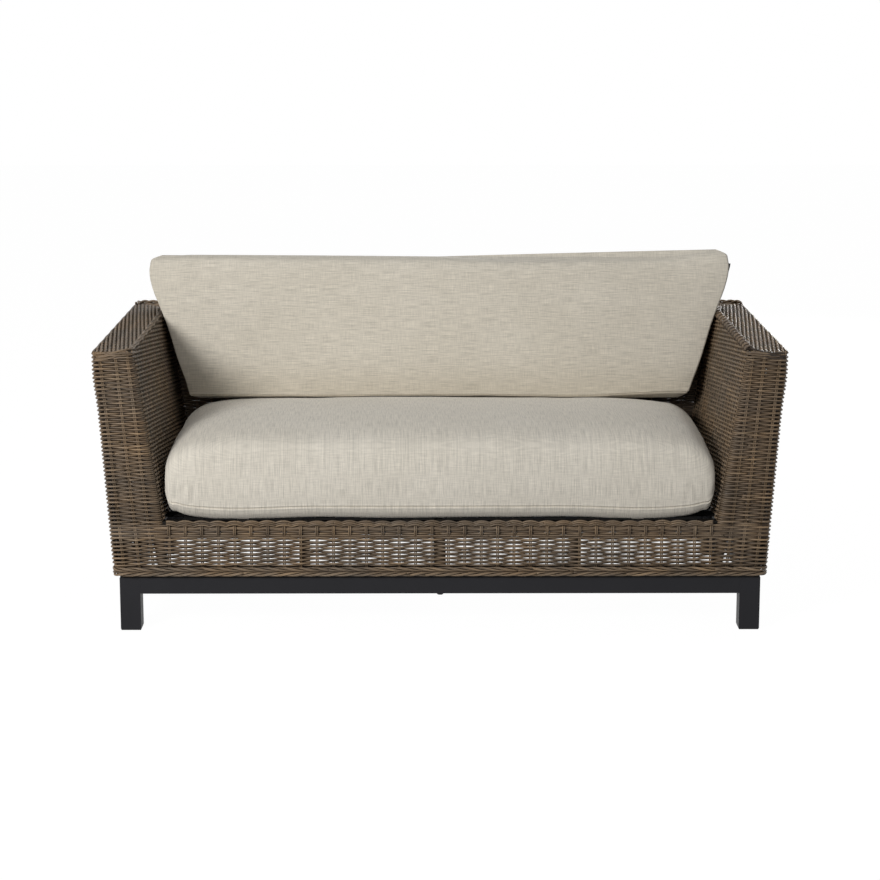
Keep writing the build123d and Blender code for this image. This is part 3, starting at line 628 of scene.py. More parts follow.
def arm_top(side, word):
    strands = []
    pitch = (outer_y(top) - mid - front_plane) / side_columns
    for row in range(top_rows):
        inset = top_edge + row * row_pitch
        y1 = outer_y(top) - inset
        y = np.append(np.arange(front_y + 0.012, y1, pitch / 4), y1)
        column = (y - front_plane) / pitch + 0.5
        wave = steep(np.cos(np.pi * (column + row)), top_steepness) * fade(y1 - y)
        push = swing * 1.1 * wave * random.uniform(0.93, 1.05)
        x = outer_x(top) - inset + 0.0003 * np.sin(y * 31 + row)
        # The front end rounds the edge and goes down behind the strands that cross the front
        y = np.concatenate([[front_y + 0.0085, front_y + 0.0040, front_y + 0.0052], y])
        z = np.concatenate([[top - 0.016, top - 0.0085, top - 0.0030], top_plane + push - 0.0002])
        # Painted shade: down the front end's turn, and darker where a weaver dives
        painted_shade = np.concatenate([[0.5, 0.15, 0.05], (1 - wave) / 2])
        x = np.concatenate([np.full(3, x[0]), x])
        normals = facing(upward, len(y))
        normals[:2] = forward
        normals[2] = (0.0, -math.sqrt(0.5), math.sqrt(0.5))
        strands += cut_up(xyz(side * x, y, z), normals, closed, 20, 80, painted_shade)
    x0, x1 = outer_x(top) - 0.004, inner_x(top) + 0.012
    for column in range(1, side_columns + 1):
        for way in (-pair_shift, pair_shift):
            y = front_plane + pitch * (column - 0.5) + way
            inner_end = x1 if y < inner_y(top) else outer_x(top) - (outer_y(top) - y)
            if inner_end <= x0 - 0.01:
                strands.append(crossing(side * x0, y, side * inner_end, y))
    # Two strands along the outer edge, with an even painted shade
    for level, out in ((-0.0035, 0.0), (-0.0085, 0.0006)):
        y = np.linspace(front_y + 0.012, outer_y(top) - 0.012, 90)
        sway = 0.0006 * np.sin(y * 60 + level * 900)
        points = xyz(side * (side_plane(top) + 0.0016 - out) + sway, y, top + level)
        strands += cut_up(points, facing((side, 0, 0), len(y)), 0.0024, 30, 60, 0.25)
    woven(f"arm_{word}_top_cane", strands, [f"arm_{word}_top_weave"])


def back_top():
    strands = []
    pitch = (outer_x(top) - mid) * 2 / rear_columns
    for row in range(top_rows):
        inset = top_edge + row * row_pitch
        half = outer_x(top) - inset
        x = np.concatenate([[-half], np.arange(-half + 0.006, half - 0.006, pitch / 4), [half]])
        column = (x + outer_x(top) - mid) / pitch + 0.5
        wave = steep(np.cos(np.pi * (column + row)), top_steepness) * fade(half - np.abs(x))
        push = swing * wave * random.uniform(0.93, 1.05)
        y = outer_y(top) - inset + 0.0003 * np.sin(x * 29 + row)
        # Painted shade, darker where a weaver dives
        strands += cut_up(xyz(x, y, top_plane + push - 0.0002), facing(upward, len(x)), closed,
                          30, 120, (1 - wave) / 2)
    y0 = outer_y(top) - 0.006
    for column in range(rear_columns + 1):
        for way in (-pair_shift, pair_shift):
            x = -outer_x(top) + mid + pitch * (column - 0.5) + way
            y1 = max(inner_y(top) + 0.012, outer_y(top) - (outer_x(top) - abs(x)))
            if y1 <= y0 - 0.01 and abs(x) <= outer_x(top):
                strands.append(crossing(x, y0, x, y1))
    woven("back_top_cane", strands, ["back_top_weave"])


for side, word in both_sides:
    arm_top(side, word)
back_top()


# Cords and borders: strands that wind round a path


def framed(path):
    """Side and up directions along a path of points."""
    tangent = unit(np.gradient(path, axis=0))
    side = unit(np.cross(tangent, facing(upward, len(path))))
    return side, np.cross(side, tangent)


def resampled(corners, spacing):
    """Evenly spaced points along a run of corners, and their places along it."""
    corners = np.array(corners, float)
    step = np.linalg.norm(np.diff(corners, axis=0), axis=1)
    place = np.concatenate([[0], np.cumsum(step)])
    at = np.linspace(0, place[-1], max(3, int(round(place[-1] / spacing)) + 1))
    return np.stack([np.interp(at, place, corners[:, i]) for i in range(3)], axis=1), at


def smoothed(path, times=2):
    for _ in range(times):
        path = path.copy()
        path[1:-1] = (path[:-2] + 2 * path[1:-1] + path[2:]) / 4
    return path


def wound(path, at, length, wide, tall, radius, flatten):
    """Three strands that wind round a path; flatten 1 gives a twist, 2 a flat plait."""
    side, over = framed(path)
    strands = []
    for i in range(3):
        angle = 2 * np.pi * at / length + 2 * np.pi * i / 3
        rise = np.sin(flatten * angle)
        points = path + side * (wide * np.cos(angle))[:, None] + over * (tall * rise)[:, None]
        # Painted shade, darker where a strand winds under
        strands += cut_up(points, over, radius, 20, 80, 0.5 - 0.5 * rise)
    return strands


border_out = 0.0005
border_x = outer_x(foot) + border_out
border_y0, border_y1 = front_y - border_out, outer_y(foot) + border_out
border_round = 0.018 + border_out
border_middle = 0.150
quarter = [(math.cos(math.radians(a)), math.sin(math.radians(a))) for a in range(0, 91, 15)]


def border_lines():
    """The bottom border's path from above: front and rear with their corners, and the sides."""
    r, x, y0, y1 = border_round, border_x, border_y0, border_y1
    front = [(-x, y0 + r + 0.0001)] + [(-x + r - r * c, y0 + r - r * s) for c, s in quarter]
    front += [(x - r + r * s, y0 + r - r * c) for c, s in quarter]
    rear = [(x - r + r * c, y1 - r + r * s) for c, s in quarter]
    rear += [(-x + r - r * s, y1 - r + r * c) for c, s in quarter]
    return front, rear, *([(s * x, y0 + r), (s * x, y1 - r)] for s in (-1, 1))


def border(corners):
    """Two rows of three-strand waling, slanting against each other; each stroke is a pair of
    strands side by side."""
    turn_length, wide, tall, drop = 0.1195, 0.0044, 0.0040, 0.0030
    strands = []
    for level, slant, start in ((0.0060, 1, 0.9), (-0.0060, -1, 0.0)):
        path, at = resampled([(x, y, border_middle + level) for x, y in corners], 0.009)
        side, _ = framed(path)
        if np.mean(np.sum(side[:, :2] * path[:, :2], axis=1)) < 0:
            side = -side
        for i in range(3):
            for beside, thick in ((0.0, 0.0021), (0.16, 0.0019)):
                turns = at / turn_length + (i + beside) / 3 + 0.12 * beside
                angle = 2 * np.pi * turns + start
                rise = slant * tall * np.cos(angle) - slant * drop * beside
                points = path + side * (wide * np.sin(angle))[:, None]
                points[:, 2] += rise
                # Painted shade, darker where a strand winds under
                strands += cut_up(points, side, thick, 14, 40, 0.5 - 0.5 * np.sin(angle))
    return strands


front_line, rear_line, left_line, right_line = border_lines()
woven("border_front_cane", border(front_line), ["border_front"])
woven("border_rear_cane", border(rear_line), ["border_rear"], 5)
woven("border_sides_cane", border(left_line) + border(right_line), ["border_sides"])


def arm_edge(side):
    """Strands that lie under each other across the front's top and run together into the cord
    along the arm's inner edge; on the right arm short strands wrap that cord."""
    x_out, x_in = outer_x(top) - 0.004, inner_x(top) + 0.006
    y_end = inner_y(top) - 0.002
    z = top - 0.0016
    strands = []
    for index in range(4):
        low = 0.0046 * index
        x = x_in + 0.0026 * (index - 1.5)
        corners = [
            (x_out - 0.002, front_y + 0.003, z - 0.006 - low),
            (x_out - 0.03, front_y - 0.0008, z - 0.0025 - low),
            (x_in + 0.060 - 0.006 * index, front_y - 0.0016, z - low + 0.0006 * index),
            (x_in + 0.034 - 0.004 * index, front_y + 0.0005, z - 0.4 * low),
            (x_in + 0.016 - 0.002 * index, front_y + 0.013 + 0.004 * index, z + 0.0016),
            (x + 0.002, front_y + 0.044, z + 0.0018), (x, front_y + 0.08, z + 0.0012),
            (x, y_end, z + 0.0012),
        ]
        path, at = resampled([(side * x, y, z) for x, y, z in corners], 0.008)
        path = smoothed(path, 4)
        turn = at * 78 + index * 2.1
        rise = np.sin(turn + 1.5)
        path[:, 0] += 0.0014 * np.sin(turn)
        path[:, 2] += 0.0016 * rise
        # Painted shade: the left cord darker where a strand winds under, the right cord painted in
        # shade all along
        strands += cut_up(path, facing((0.0, -0.5, 0.866), len(path)), 0.0021, 24, 80,
                          0.22 - 0.22 * rise if side < 0 else 0.85)
    if side > 0:
        wrap = np.array([(-0.0080, 0.0, -0.0042), (-0.0058, 0.004, 0.0022), (0.0, 0.010, 0.0050),
                         (0.0070, 0.017, 0.0048), (0.0125, 0.023, 0.0010)])
        # Painted shade on the wraps, darker where they tuck under
        painted_shade = np.array([0.8, 0.45, 0.0, 0.0, 0.3])
        for y in np.arange(front_y + 0.026, inner_y(top) - 0.03, 0.0385):
            for start in (0.0, 0.0120):
                points = wrap + np.array([x_in, y + start, top])
                strands.append((points, facing(upward, len(wrap)), 0.0024, painted_shade))
    return strands


woven("arm_edges_cane", arm_edge(-1) + arm_edge(1), ["arm_edge_cords"])

cord_half, cord_y, cord_z = inner_x(top) + 0.012, inner_y(top) + 0.006, 0.6875
cord = resampled([(-cord_half, cord_y, cord_z), (cord_half, cord_y, cord_z)], 0.008)
woven("back_edge_cane", wound(*cord, 0.12, 0.0035, 0.0020, 0.0025, 2), ["back_edge_cord"])

# The rear edge's cord turns down the sides a little at both rear corners
rear_half, rear_y, rear_z = outer_x(top) - 0.006, outer_y(top) - 0.0068, 0.6905
turn = ((0.010, -0.0003), (-0.0005, -0.006), (-0.0022, -0.013), (-0.0024, -0.030))
turn = [(rear_half - inward, rear_y + back, rear_z) for inward, back in turn]
path, at = resampled([(-x, y, z) for x, y, z in turn[::-1]] + turn, 0.0065)
woven("rear_edge_cane", wound(smoothed(path), at, 0.069, 0.0046, 0.0046, 0.0030, 1),
      ["rear_edge_cord"])


def front_wraps():
    """Strands across the top of each arm's front that turn back at the inner edge."""
    strands = []
    t = np.linspace(0, 1, 24)
    turning = 0.008 * np.maximum(0, 1 - t / 0.08) ** 2
    turning = turning + 0.030 * np.maximum(0, (t - 0.76) / 0.24) ** 1.7
    for side, _ in both_sides:
        for step, (down, slant) in enumerate(((0.0100, 0.0016), (0.0150, -0.0014), (0.0055, 0.0))):
            z = top - down
            x0, x1 = inner_x(z) + 0.0035, outer_x(z) - 0.010
            x = x1 + (x0 - x1) * np.minimum(1, t * 1.2) ** 0.95
            beat = np.cos(t * 8.4 + step * np.pi)
            y = front_y + 0.0014 + turning + 0.0018 * beat
            z = z + slant * (t - 0.5) * 2 + 0.0006 * np.sin(t * 9 + step)
            # Painted shade, darker where the strand lies further back
            strands.append((smoothed(xyz(side * x, y, z)), facing(forward, len(t)), 0.0023,
                            0.3 + 0.25 * beat))
    return strands


woven("arm_front_wraps_cane", front_wraps(), ["arm_front_wraps"])


def seat_edge():
    """Strands that arch over each pair of uprights along the seat rail."""
    half = inner_x(seat_level - 0.014) - 0.003
    strands = []
    x = np.arange(-half, half, 0.0033)
    place = (x + rail_half) / rail_pitch
    t = np.abs(place - np.round(place)) * 2
    for step, thick in enumerate((0.0021, 0.0021, 0.0020)):
        z = 0.2764 - 0.0052 * t ** 2 - 0.0043 * step + 0.0006 * np.sin(place * 1.3 + step)
        y = front_y - 0.0020 + 0.0030 * t ** 2 - 0.0005 * step
        # Painted shade, darker where a strand dips between the pairs
        strands += cut_up(xyz(x, y, z), facing(forward, len(x)), thick, 11, 40,
                          0.15 + 0.28 * t ** 3)
    for index in range(rail_columns):
        centre = -rail_half + index * rail_pitch
        if abs(centre) > half - 0.004:
            continue
        for way in (-0.0021, 0.0021):
            points = xyz(centre + way, front_y - 0.0010, (0.2640, 0.2530, 0.2400))
            # A little painted shade on the uprights
            strands.append((points, facing(forward, 3), 0.0017, 0.2))
    bar = np.arange(-half - 0.03, half + 0.03, 0.0066)
    for level, out in ((0.2570, 0.0040), (0.2395, 0.0010)):
        points = xyz(bar, front_y + out + 0.0004 * np.sin(bar * 150),
                     level + 0.0005 * np.sin(bar * 41))
        # An even painted shade on the bars
        strands += cut_up(points, facing(forward, len(bar)), 0.0023, 20, 60, 0.24)
    return strands


woven("seat_edge_cane", seat_edge(), ["seat_edge_border"])


# Cushions: each is a closed grid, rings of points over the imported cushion's stations and outline


def closed_outline(shares):
    """A smooth closed curve through the shares."""
    points = np.array(shares, float)
    n = len(points)
    t = np.linspace(0, 1, 60, endpoint=False)[:, None]
    dense = []
    for i in range(n):
        p0, p1, p2, p3 = points[i - 1], points[i], points[(i + 1) % n], points[(i + 2) % n]
        dense.append(0.5 * ((2 * p1) + (p2 - p0) * t + (2 * p0 - 5 * p1 + 4 * p2 - p3) * t ** 2
                            + (3 * p1 - p0 - 3 * p2 + p3) * t ** 3))
    return np.concatenate(dense)


def by_length(shares, scale, count, seams):
    """Points along a closed curve, evenly by length but crowded where a seam runs."""
    curve = closed_outline(shares)
    curve = np.vstack([curve, curve[:1]])
    scale = np.array(scale)
    step = np.linalg.norm(np.diff(curve * scale, axis=0), axis=1)
    halfway = (curve[1:] + curve[:-1]) / 2 * scale
    for seam in seams:
        gap = np.linalg.norm(halfway - np.array(seam) * scale, axis=1)
        step = step * (1 + 6 * np.exp(-(gap / 0.007) ** 2))
    place = np.concatenate([[0], np.cumsum(step)])
    at = np.linspace(0, place[-1], count, endpoint=False)
    return np.stack([np.interp(at, place, curve[:, i]) for i in range(2)], axis=1)


def seam_gaps(outline, grid, seams):
    """How far each point of a grid lies from the nearest seam, measured in its own ring."""
    gaps = []
    for seam in seams:
        index = int(np.argmin(np.linalg.norm(outline - np.array(seam), axis=1)))
        gaps.append(np.linalg.norm(grid - grid[:, index:index + 1], axis=2))
    return np.min(gaps, axis=0)


def smooth_table(table, at):
    """Values of a table's columns between its rows, with soft slopes."""
    table = np.array(table, float)
    x = table[:, 0]
    i = np.clip(np.searchsorted(x, at) - 1, 0, len(x) - 2)
    h = x[i + 1] - x[i]
    t = (at - x[i]) / h
    result = []
    for y in table[:, 1:].T:
        slope = np.diff(y) / np.diff(x)
        tangent = np.concatenate([[slope[0]], (slope[:-1] + slope[1:]) / 2, [slope[-1]]])
        tangent[1:-1][slope[:-1] * slope[1:] <= 0] = 0
        result.append(
            (2 * t ** 3 - 3 * t ** 2 + 1) * y[i] + (t ** 3 - 2 * t ** 2 + t) * h * tangent[i]
            + (-2 * t ** 3 + 3 * t ** 2) * y[i + 1] + (t ** 3 - t ** 2) * h * tangent[i + 1])
    return np.stack(result, axis=1)


def built(name, vertices, faces, material):
    mesh = bpy.data.meshes.new(name)
    mesh.from_pydata(vertices, [], faces)
    mesh.materials.append(material)
    return placed(name, mesh)


def grid_mesh(name, grid, material):
    """A closed mesh from rings of points: quads between rings and a fan at each end."""
    rings, around, _ = grid.shape
    k = np.arange(around)
    k2 = (k + 1) % around
    start = (np.arange(rings - 1) * around)[:, None]
    quads = np.stack([start + k, start + k2, start + around + k2, start + around + k], axis=-1)
    pole, last = rings * around, (rings - 1) * around
    fans = [np.stack([np.full(around, pole), k2, k], axis=1),
            np.stack([np.full(around, pole + 1), last + k, last + k2], axis=1)]
    faces = quads.reshape(-1, 4).tolist() + np.concatenate(fans).tolist()
    poles = [grid[0].mean(axis=0), grid[-1].mean(axis=0)]
    piece = built(name, np.vstack([grid.reshape(-1, 3), poles]).tolist(), faces, material)
    mesh = piece.data
    work = bmesh.new()
    work.from_mesh(mesh)
    bmesh.ops.recalc_face_normals(work, faces=work.faces)
    work.to_mesh(mesh)
    work.free()
    mesh.polygons.foreach_set("use_smooth", np.ones(len(mesh.polygons), bool))
    return piece


def end_rings(grid, steps, bulge, axis):
    """Rings that close the two ends of a grid, shrinking to the middle with a soft bulge."""
    def close(ring, outward):
        centre = ring.mean(axis=0)
        scales = [1 - i / (steps + 0.6) for i in range(1, steps + 1)]
        return [centre + (ring - centre) * scale + outward * (1 - scale ** 2.2)
                for scale in scales]
    outward = np.array(axis) * bulge
    return np.concatenate([close(grid[0], -outward)[::-1], grid, close(grid[-1], outward)])


def eased(count):
    """Shares from -1 to 1 that crowd together towards the ends."""
    t = np.linspace(-1, 1, count)
    return np.sign(t) * (1 - (1 - np.abs(t)) ** 1.25)


def puffed(grid, bulge, axis):
    """Runs a short cloth simulation on a coarse cushion and returns how its points moved."""
    steps, frames, stretch, furthest = 3, 20, 15.0, 0.022
    full = end_rings(grid, steps, bulge, axis)
    piece = grid_mesh("trial", full, seat_cloth)
    before = np.array([v.co[:] for v in piece.data.vertices])
    cloth = piece.modifiers.new("Cloth", "CLOTH")
    settings = cloth.settings
    settings.quality = 5
    settings.mass = 0.25
    settings.tension_stiffness = stretch
    settings.compression_stiffness = stretch
    settings.shear_stiffness = stretch * 0.4
    settings.bending_stiffness = 0.6
    settings.use_pressure = True
    settings.uniform_pressure_force = 4.0
    settings.effector_weights.gravity = 0
    settings.shrink_min = -0.012
    cloth.point_cache.frame_start = 1
    cloth.point_cache.frame_end = frames
    scene = bpy.context.scene
    for number in range(1, frames + 1):
        scene.frame_set(number)
        bpy.context.view_layer.update()
    evaluated = piece.evaluated_get(bpy.context.evaluated_depsgraph_get())
    after = np.array([v.co[:] for v in evaluated.data.vertices])
    scene.frame_set(1)
    bpy.data.objects.remove(piece)
    move = after - before
    length = np.linalg.norm(move, axis=1, keepdims=True)
    move = move * np.minimum(1, furthest / np.maximum(length, 1e-6))
    rings, around, _ = full.shape
    return move[:rings * around].reshape(rings, around, 3)[steps:rings - steps]


def eased_between(low, high, t):
    t = t * t * (3 - 2 * t)
    return low * (1 - t) + high * t


def spread(move, around, share_from, share_to):
    """A coarse grid of moves, resampled smoothly on a finer grid."""
    coarse_rings, coarse, _ = move.shape
    place = np.arange(around) * coarse / around
    i0 = np.floor(place).astype(int) % coarse
    t = (place - np.floor(place))[None, :, None]
    wide = eased_between(move[:, i0], move[:, (i0 + 1) % coarse], t)
    ring = np.interp(share_to, share_from, np.arange(coarse_rings))
    j0 = np.clip(np.floor(ring).astype(int), 0, coarse_rings - 1)
    j1 = np.minimum(j0 + 1, coarse_rings - 1)
    return eased_between(wide[j0], wide[j1], (ring - j0)[:, None, None])


def normals_of(grid):
    around = (np.roll(grid, -1, axis=1) - np.roll(grid, 1, axis=1)) / 2
    n = unit(np.cross(np.gradient(grid, axis=0), around))
    inward = np.mean(np.sum(n * (grid - grid.mean(axis=(0, 1))), axis=2)) < 0
    return -n if inward else n


def rumple(grid, scale, height, seed):
    """Soft uneven swells over a surface, as filled cloth has."""
    places = grid.reshape(-1, 3) * np.array(scale) + np.array([seed, 0.0, 0.0])
    values = np.array([noise.noise(Vector(place)) for place in places])
    return values.reshape(grid.shape[:2])[:, :, None] * height


def filled(grid_at, fine, coarse, bulge, axis, share, swells):
    """A cushion's fine grid, moved by a share of its coarse copy's puffing and swollen unevenly.
    Fine and coarse are stations with the number of points round each."""
    grid = grid_at(*fine)
    grid = grid + spread(puffed(grid_at(*coarse), bulge, axis), fine[1], coarse[0],
                         fine[0]) * share
    normals = normals_of(grid)
    for scale, height, seed in swells:
        grid = grid + normals * rumple(grid, scale, height, seed)
    return grid, normals


def creases(grid, normals, lines):
    """Narrow folds: each is (start, end, depth, width), fading to nothing at both ends."""
    result = np.zeros(grid.shape[:2])
    for start, end, depth, wide in lines:
        a, b = np.array(start), np.array(end)
        along = b - a
        t = np.clip(np.sum((grid - a) * along, axis=2) / np.dot(along, along), 0, 1)
        gap = np.linalg.norm(grid - (a + t[..., None] * along), axis=2)
        fold = -np.exp(-(gap / wide) ** 2) + 0.5 * np.exp(-((gap - 1.9 * wide) / wide) ** 2)
        result += depth * np.sin(np.pi * t) ** 0.7 * fold
    return result[:, :, None] * normals


def seam_groove(normals, gap):
    """Sinks a line along the seams and lifts the cloth a little beside it."""
    deep, wide = 0.0019, 0.0017
    dip = -deep * np.exp(-(gap / wide) ** 2)
    lip = 0.55 * deep * np.exp(-((np.abs(gap) - 2.2 * wide) / wide) ** 2)
    return (dip + lip)[:, :, None] * normals


def finished(name, grid, bulge, axis, material, gap, shaded=0.0):
    """The cushion's mesh, with darker seams and painted shade on its shaded part."""
    steps, darkening, darkening_width = 5, 0.4, 0.0016
    piece = grid_mesh(name, end_rings(grid, steps, bulge, axis), material)
    seam = np.zeros(len(piece.data.vertices), np.float32)
    first = steps * grid.shape[1]
    # Darker along the seams; shaded is painted shade
    dark = np.maximum(darkening * np.exp(-(gap / darkening_width) ** 2), shaded)
    seam[first:first + gap.size] = dark.reshape(-1)
    piece.data.attributes.new("seam", "FLOAT", "POINT").data.foreach_set("value", seam)
    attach(piece, name)
    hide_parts(f"{name}_cover", f"{name}_foam")


# Seat cushion. Stations: place across as a share of the half width, then the shares of depth, of
# the bottom's rise and of the height. Outline from the side: shares of depth and height.
seat_front, seat_rear = -0.41475, 0.27025
seat_bottom, seat_height, seat_half = 0.2765, 0.210, 0.66992
seat_stations = [
    (-1.000, 0.955, 0.290, 0.680), (-0.992, 0.975, 0.165, 0.750), (-0.955, 0.990, 0.075, 0.865),
    (-0.870, 0.998, 0.008, 0.950), (-0.45, 1.0, 0.0, 1.005), (0.000, 1.000, 0.000, 1.020),
    (0.45, 1.0, 0.0, 1.005), (0.870, 0.998, 0.008, 0.955), (0.955, 0.990, 0.075, 0.875),
    (0.992, 0.975, 0.165, 0.760), (1.000, 0.955, 0.290, 0.690),
]
seat_outline = [
    (0.045, 0.000), (0.018, 0.036), (0.003, 0.140), (0.000, 0.380), (0.012, 0.620),
    (0.040, 0.830), (0.115, 0.930), (0.26, 0.985), (0.450, 1.000), (0.66, 0.972), (0.860, 0.900),
    (0.965, 0.760), (0.995, 0.520), (1.000, 0.300), (0.990, 0.120), (0.950, 0.000), (0.75, 0.0),
    (0.5, 0.0), (0.25, 0.0),
]
seat_seams = [(0.004, 0.140), (0.992, 0.140)]
seat_coarse, seat_fine, seat_around = eased(61), eased(181), 252


def seat_section(around):
    return by_length(seat_outline, (seat_rear - seat_front, seat_height), around, seat_seams)


def seat_grid(across, around):
    """Seat cushion's surface: across are shares of the half width."""
    outline = seat_section(around)
    rings = []
    for share, (deep, low, high) in zip(across, smooth_table(seat_stations, across)):
        y = (seat_front + seat_rear) / 2 + (outline[:, 0] - 0.5) * (seat_rear - seat_front) * deep
        z = seat_bottom + (low + outline[:, 1] * (high - low)) * seat_height
        rings.append(xyz(share * seat_half, y, z))
    return np.array(rings)


def seat_cushion():
    swells = ((4.2, 5.0, 8.0), 0.0030, 3.0), ((11.0, 9.0, 12.0), 0.0011, 9.0)
    grid, normals = filled(seat_grid, (seat_fine, seat_around), (seat_coarse, 84), 0.004, along_x,
                           0.22, swells)
    gap = seam_gaps(seat_section(seat_around), grid, seat_seams)
    grid = grid + seam_groove(normals, gap)
    puckers = []
    for side, _ in both_sides:
        for x, z, slant in ((0.650, 0.330, 0.05), (0.628, 0.326, 0.02), (0.600, 0.322, 0.0),
                            (0.664, 0.365, 0.03)):
            puckers.append(((side * x, seat_front, z - 0.018),
                            (side * (x - slant), seat_front, z + 0.055), 0.0022, 0.006))
        for y in (-0.2, 0.02, 0.16):
            puckers.append(((side * 0.66, y, 0.42), (side * 0.60, y + 0.05, 0.478),
                            0.0016, 0.011))
    grid = grid + creases(grid, normals, puckers)
    finished("seat_cushion", grid, 0.003, along_x, seat_cloth, gap)


seat_cushion()

# Back cushion, built upright and then leant on the wall. Stations: place up as a share of the
# length, then the shares that are drawn in at the ends, the front and the rear. Outline from
# above: shares of the half width and the thickness, from the rear.
lean = math.atan2(inner_lean, top - seat_level)
back_bottom, back_length, back_thick = 0.4495, 0.387, 0.165
back_foot_half, back_arm_half = 0.66511, 0.732
back_flare = (back_arm_half - back_foot_half) / (top - back_bottom)
back_stations = [
    (0.000, 0.036, 0.240, 0.090), (0.018, 0.018, 0.125, 0.040), (0.038, 0.008, 0.014, 0.018),
    (0.060, 0.004, 0.004, 0.008), (0.110, 0.002, 0.000, 0.000), (0.250, -0.005, -0.020, 0.000),
    (0.500, -0.010, -0.030, 0.000), (0.620, -0.016, -0.030, 0.000), (0.760, -0.024, -0.005, 0.0),
    (0.860, -0.021, 0.012, 0.000), (0.930, -0.010, 0.045, 0.010), (0.975, 0.004, 0.110, 0.030),
    (1.000, 0.034, 0.230, 0.090),
]
right_half = [(0.975, 0.000), (0.994, 0.200), (1.000, 0.480), (0.995, 0.780), (0.985, 0.935),
              (0.945, 0.990), (0.45, 1.012)]
back_outline = right_half + [(0.0, 1.020)] + [(-x, y) for x, y in right_half[::-1]]
back_outline += [(-0.5, 0.0), (0.0, 0.0), (0.5, 0.0)]
back_seams, foot_seam = [(0.985, 0.935), (-0.985, 0.935)], 0.040
seam_shares = foot_seam + np.array([-8, -5, -3, -1.5, 0, 1.5, 3, 5, 8]) / 1000
back_coarse = (eased(31) + 1) / 2
back_fine, back_around = np.unique(np.append((eased(91) + 1) / 2, seam_shares)), 420

# How far the top edge rises over its mean height, from the left end to the right one
top_line = np.array([
    (-0.74, -0.008), (-0.66, -0.006), (-0.56, -0.008), (-0.48, -0.011), (-0.32, -0.0105),
    (-0.16, -0.0115), (0.0, -0.0105), (0.16, -0.020), (0.32, -0.020), (0.48, -0.016),
    (0.59, -0.014), (0.67, -0.003), (0.72, 0.006), (0.76, 0.007),
])


def back_section(around):
    return by_length(back_outline, (0.72, back_thick), around, back_seams)


def back_grid(along, around):
    """Back cushion's surface, upright: along are shares of its length."""
    outline = back_section(around)
    rings = []
    for share, (drawn, front_drawn, rear_drawn) in zip(along, smooth_table(back_stations, along)):
        half = back_foot_half + back_flare * share * back_length * math.cos(lean)
        near, far = back_thick * rear_drawn, back_thick * (1 - front_drawn)
        rings.append(xyz(outline[:, 0] * half * (1 - drawn), -(near + outline[:, 1] * (far - near)),
                         share * back_length))
    return np.array(rings)


def leant(grid):
    x, y, z = np.moveaxis(grid, -1, 0)
    base_y = inner_y(back_bottom) - 0.001
    sin, cos = math.sin(lean), math.cos(lean)
    return np.stack([x, base_y + y * cos + z * sin, back_bottom - y * sin + z * cos], axis=-1)


def beside_arms(grid):
    """Presses the cushion's ends flat where the arms' inner walls and edge cords stand."""
    x, y, z = np.moveaxis(grid, -1, 0)
    free = np.clip((z - 0.701) / 0.012, 0, 1) * 0.06
    limit = inner_x(np.minimum(z, top)) - 0.0025 + free
    return np.stack([np.sign(x) * np.minimum(np.abs(x), limit), y, z], axis=-1)


def back_cushion():
    swells = ((4.0, 6.0, 6.0), 0.0030, 21.0), ((10.0, 9.0, 13.0), 0.0010, 27.0)
    grid, normals = filled(back_grid, (back_fine, back_around), (back_coarse, 150), 0.003, upward,
                           0.12, swells)
    up = np.broadcast_to(back_fine[:, None], grid.shape[:2])
    # The foot's front corner hangs a little, except at the right end
    sag = np.clip((0.62 - grid[:, :, 0]) / 0.22, 0, 1) * np.clip(-grid[:, :, 1] / 0.14, 0, 1)
    low = np.clip(up / 0.035, 0, 1) * np.exp(-(np.maximum(up - foot_seam, 0) / 0.05) ** 2)
    grid[:, :, 2] -= 0.0075 * sag * low
    on_front = grid[:, :, 1] < -0.12
    foot_gap = np.where(on_front, np.abs(up - foot_seam) * back_length + 0.0015 * sag, 1.0)
    end_gap = seam_gaps(back_section(back_around), grid, back_seams)
    gap = np.minimum(foot_gap, np.where(up < foot_seam, 1.0, end_gap))
    grid = grid + seam_groove(normals, gap)
    grid[:, :, 2] += np.interp(grid[:, :, 0], *top_line.T) * up ** 4
    # Painted shade at the foot, where the seat cushion keeps light off the back cushion
    foot_shade = 0.5 * np.exp(-(up * back_length / 0.065) ** 2)
    finished("back_cushion", beside_arms(leant(grid)), 0.002, (0, math.sin(lean), math.cos(lean)),
             back_cloth, gap, foot_shade)


back_cushion()


def side_tab():
    """A small folded tab sewn into the right-hand seam near the top."""
    count, reach, thick, tab_y = 11, 0.0122, 0.00264, 0.204
    levels = ((0.7985, 0.7520), (0.8070, 0.7550), (0.8160, 0.7572), (0.8250, 0.7585))
    turn = np.linspace(0, np.pi, count)
    out, beside = reach * np.abs(np.sin(turn)) ** 0.6, thick * np.cos(turn)
    vertices = np.concatenate([xyz(x + out, tab_y + beside, z) for z, x in levels])
    starts = [ring * count + k for ring in range(len(levels) - 1) for k in range(count - 1)]
    faces = [(a, a + 1, a + 1 + count, a + count) for a in starts]
    faces += [tuple(range(count))[::-1], tuple(range(len(vertices) - count, len(vertices)))]
    piece = built("side_tab", vertices.tolist(), faces, tab_cloth)
    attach(piece, "back_cushion")
    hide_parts("back_cushion_tab")


side_tab()


# Carried-over nodes: their shapes are right, they get their materials and soft edges


def dressed(names, material, edge=0.0):
    for name in names.split():
        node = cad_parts[name]
        node.data.materials.clear()
        node.data.materials.append(material)
        if edge:
            weld = node.modifiers.new("Weld", "WELD")
            weld.merge_threshold = 0.00002
            soft = node.modifiers.new("Edge", "BEVEL")
            soft.width = edge
            soft.segments = 3
            soft.limit_method = "ANGLE"
            soft.angle_limit = math.radians(40)
            soft.harden_normals = True


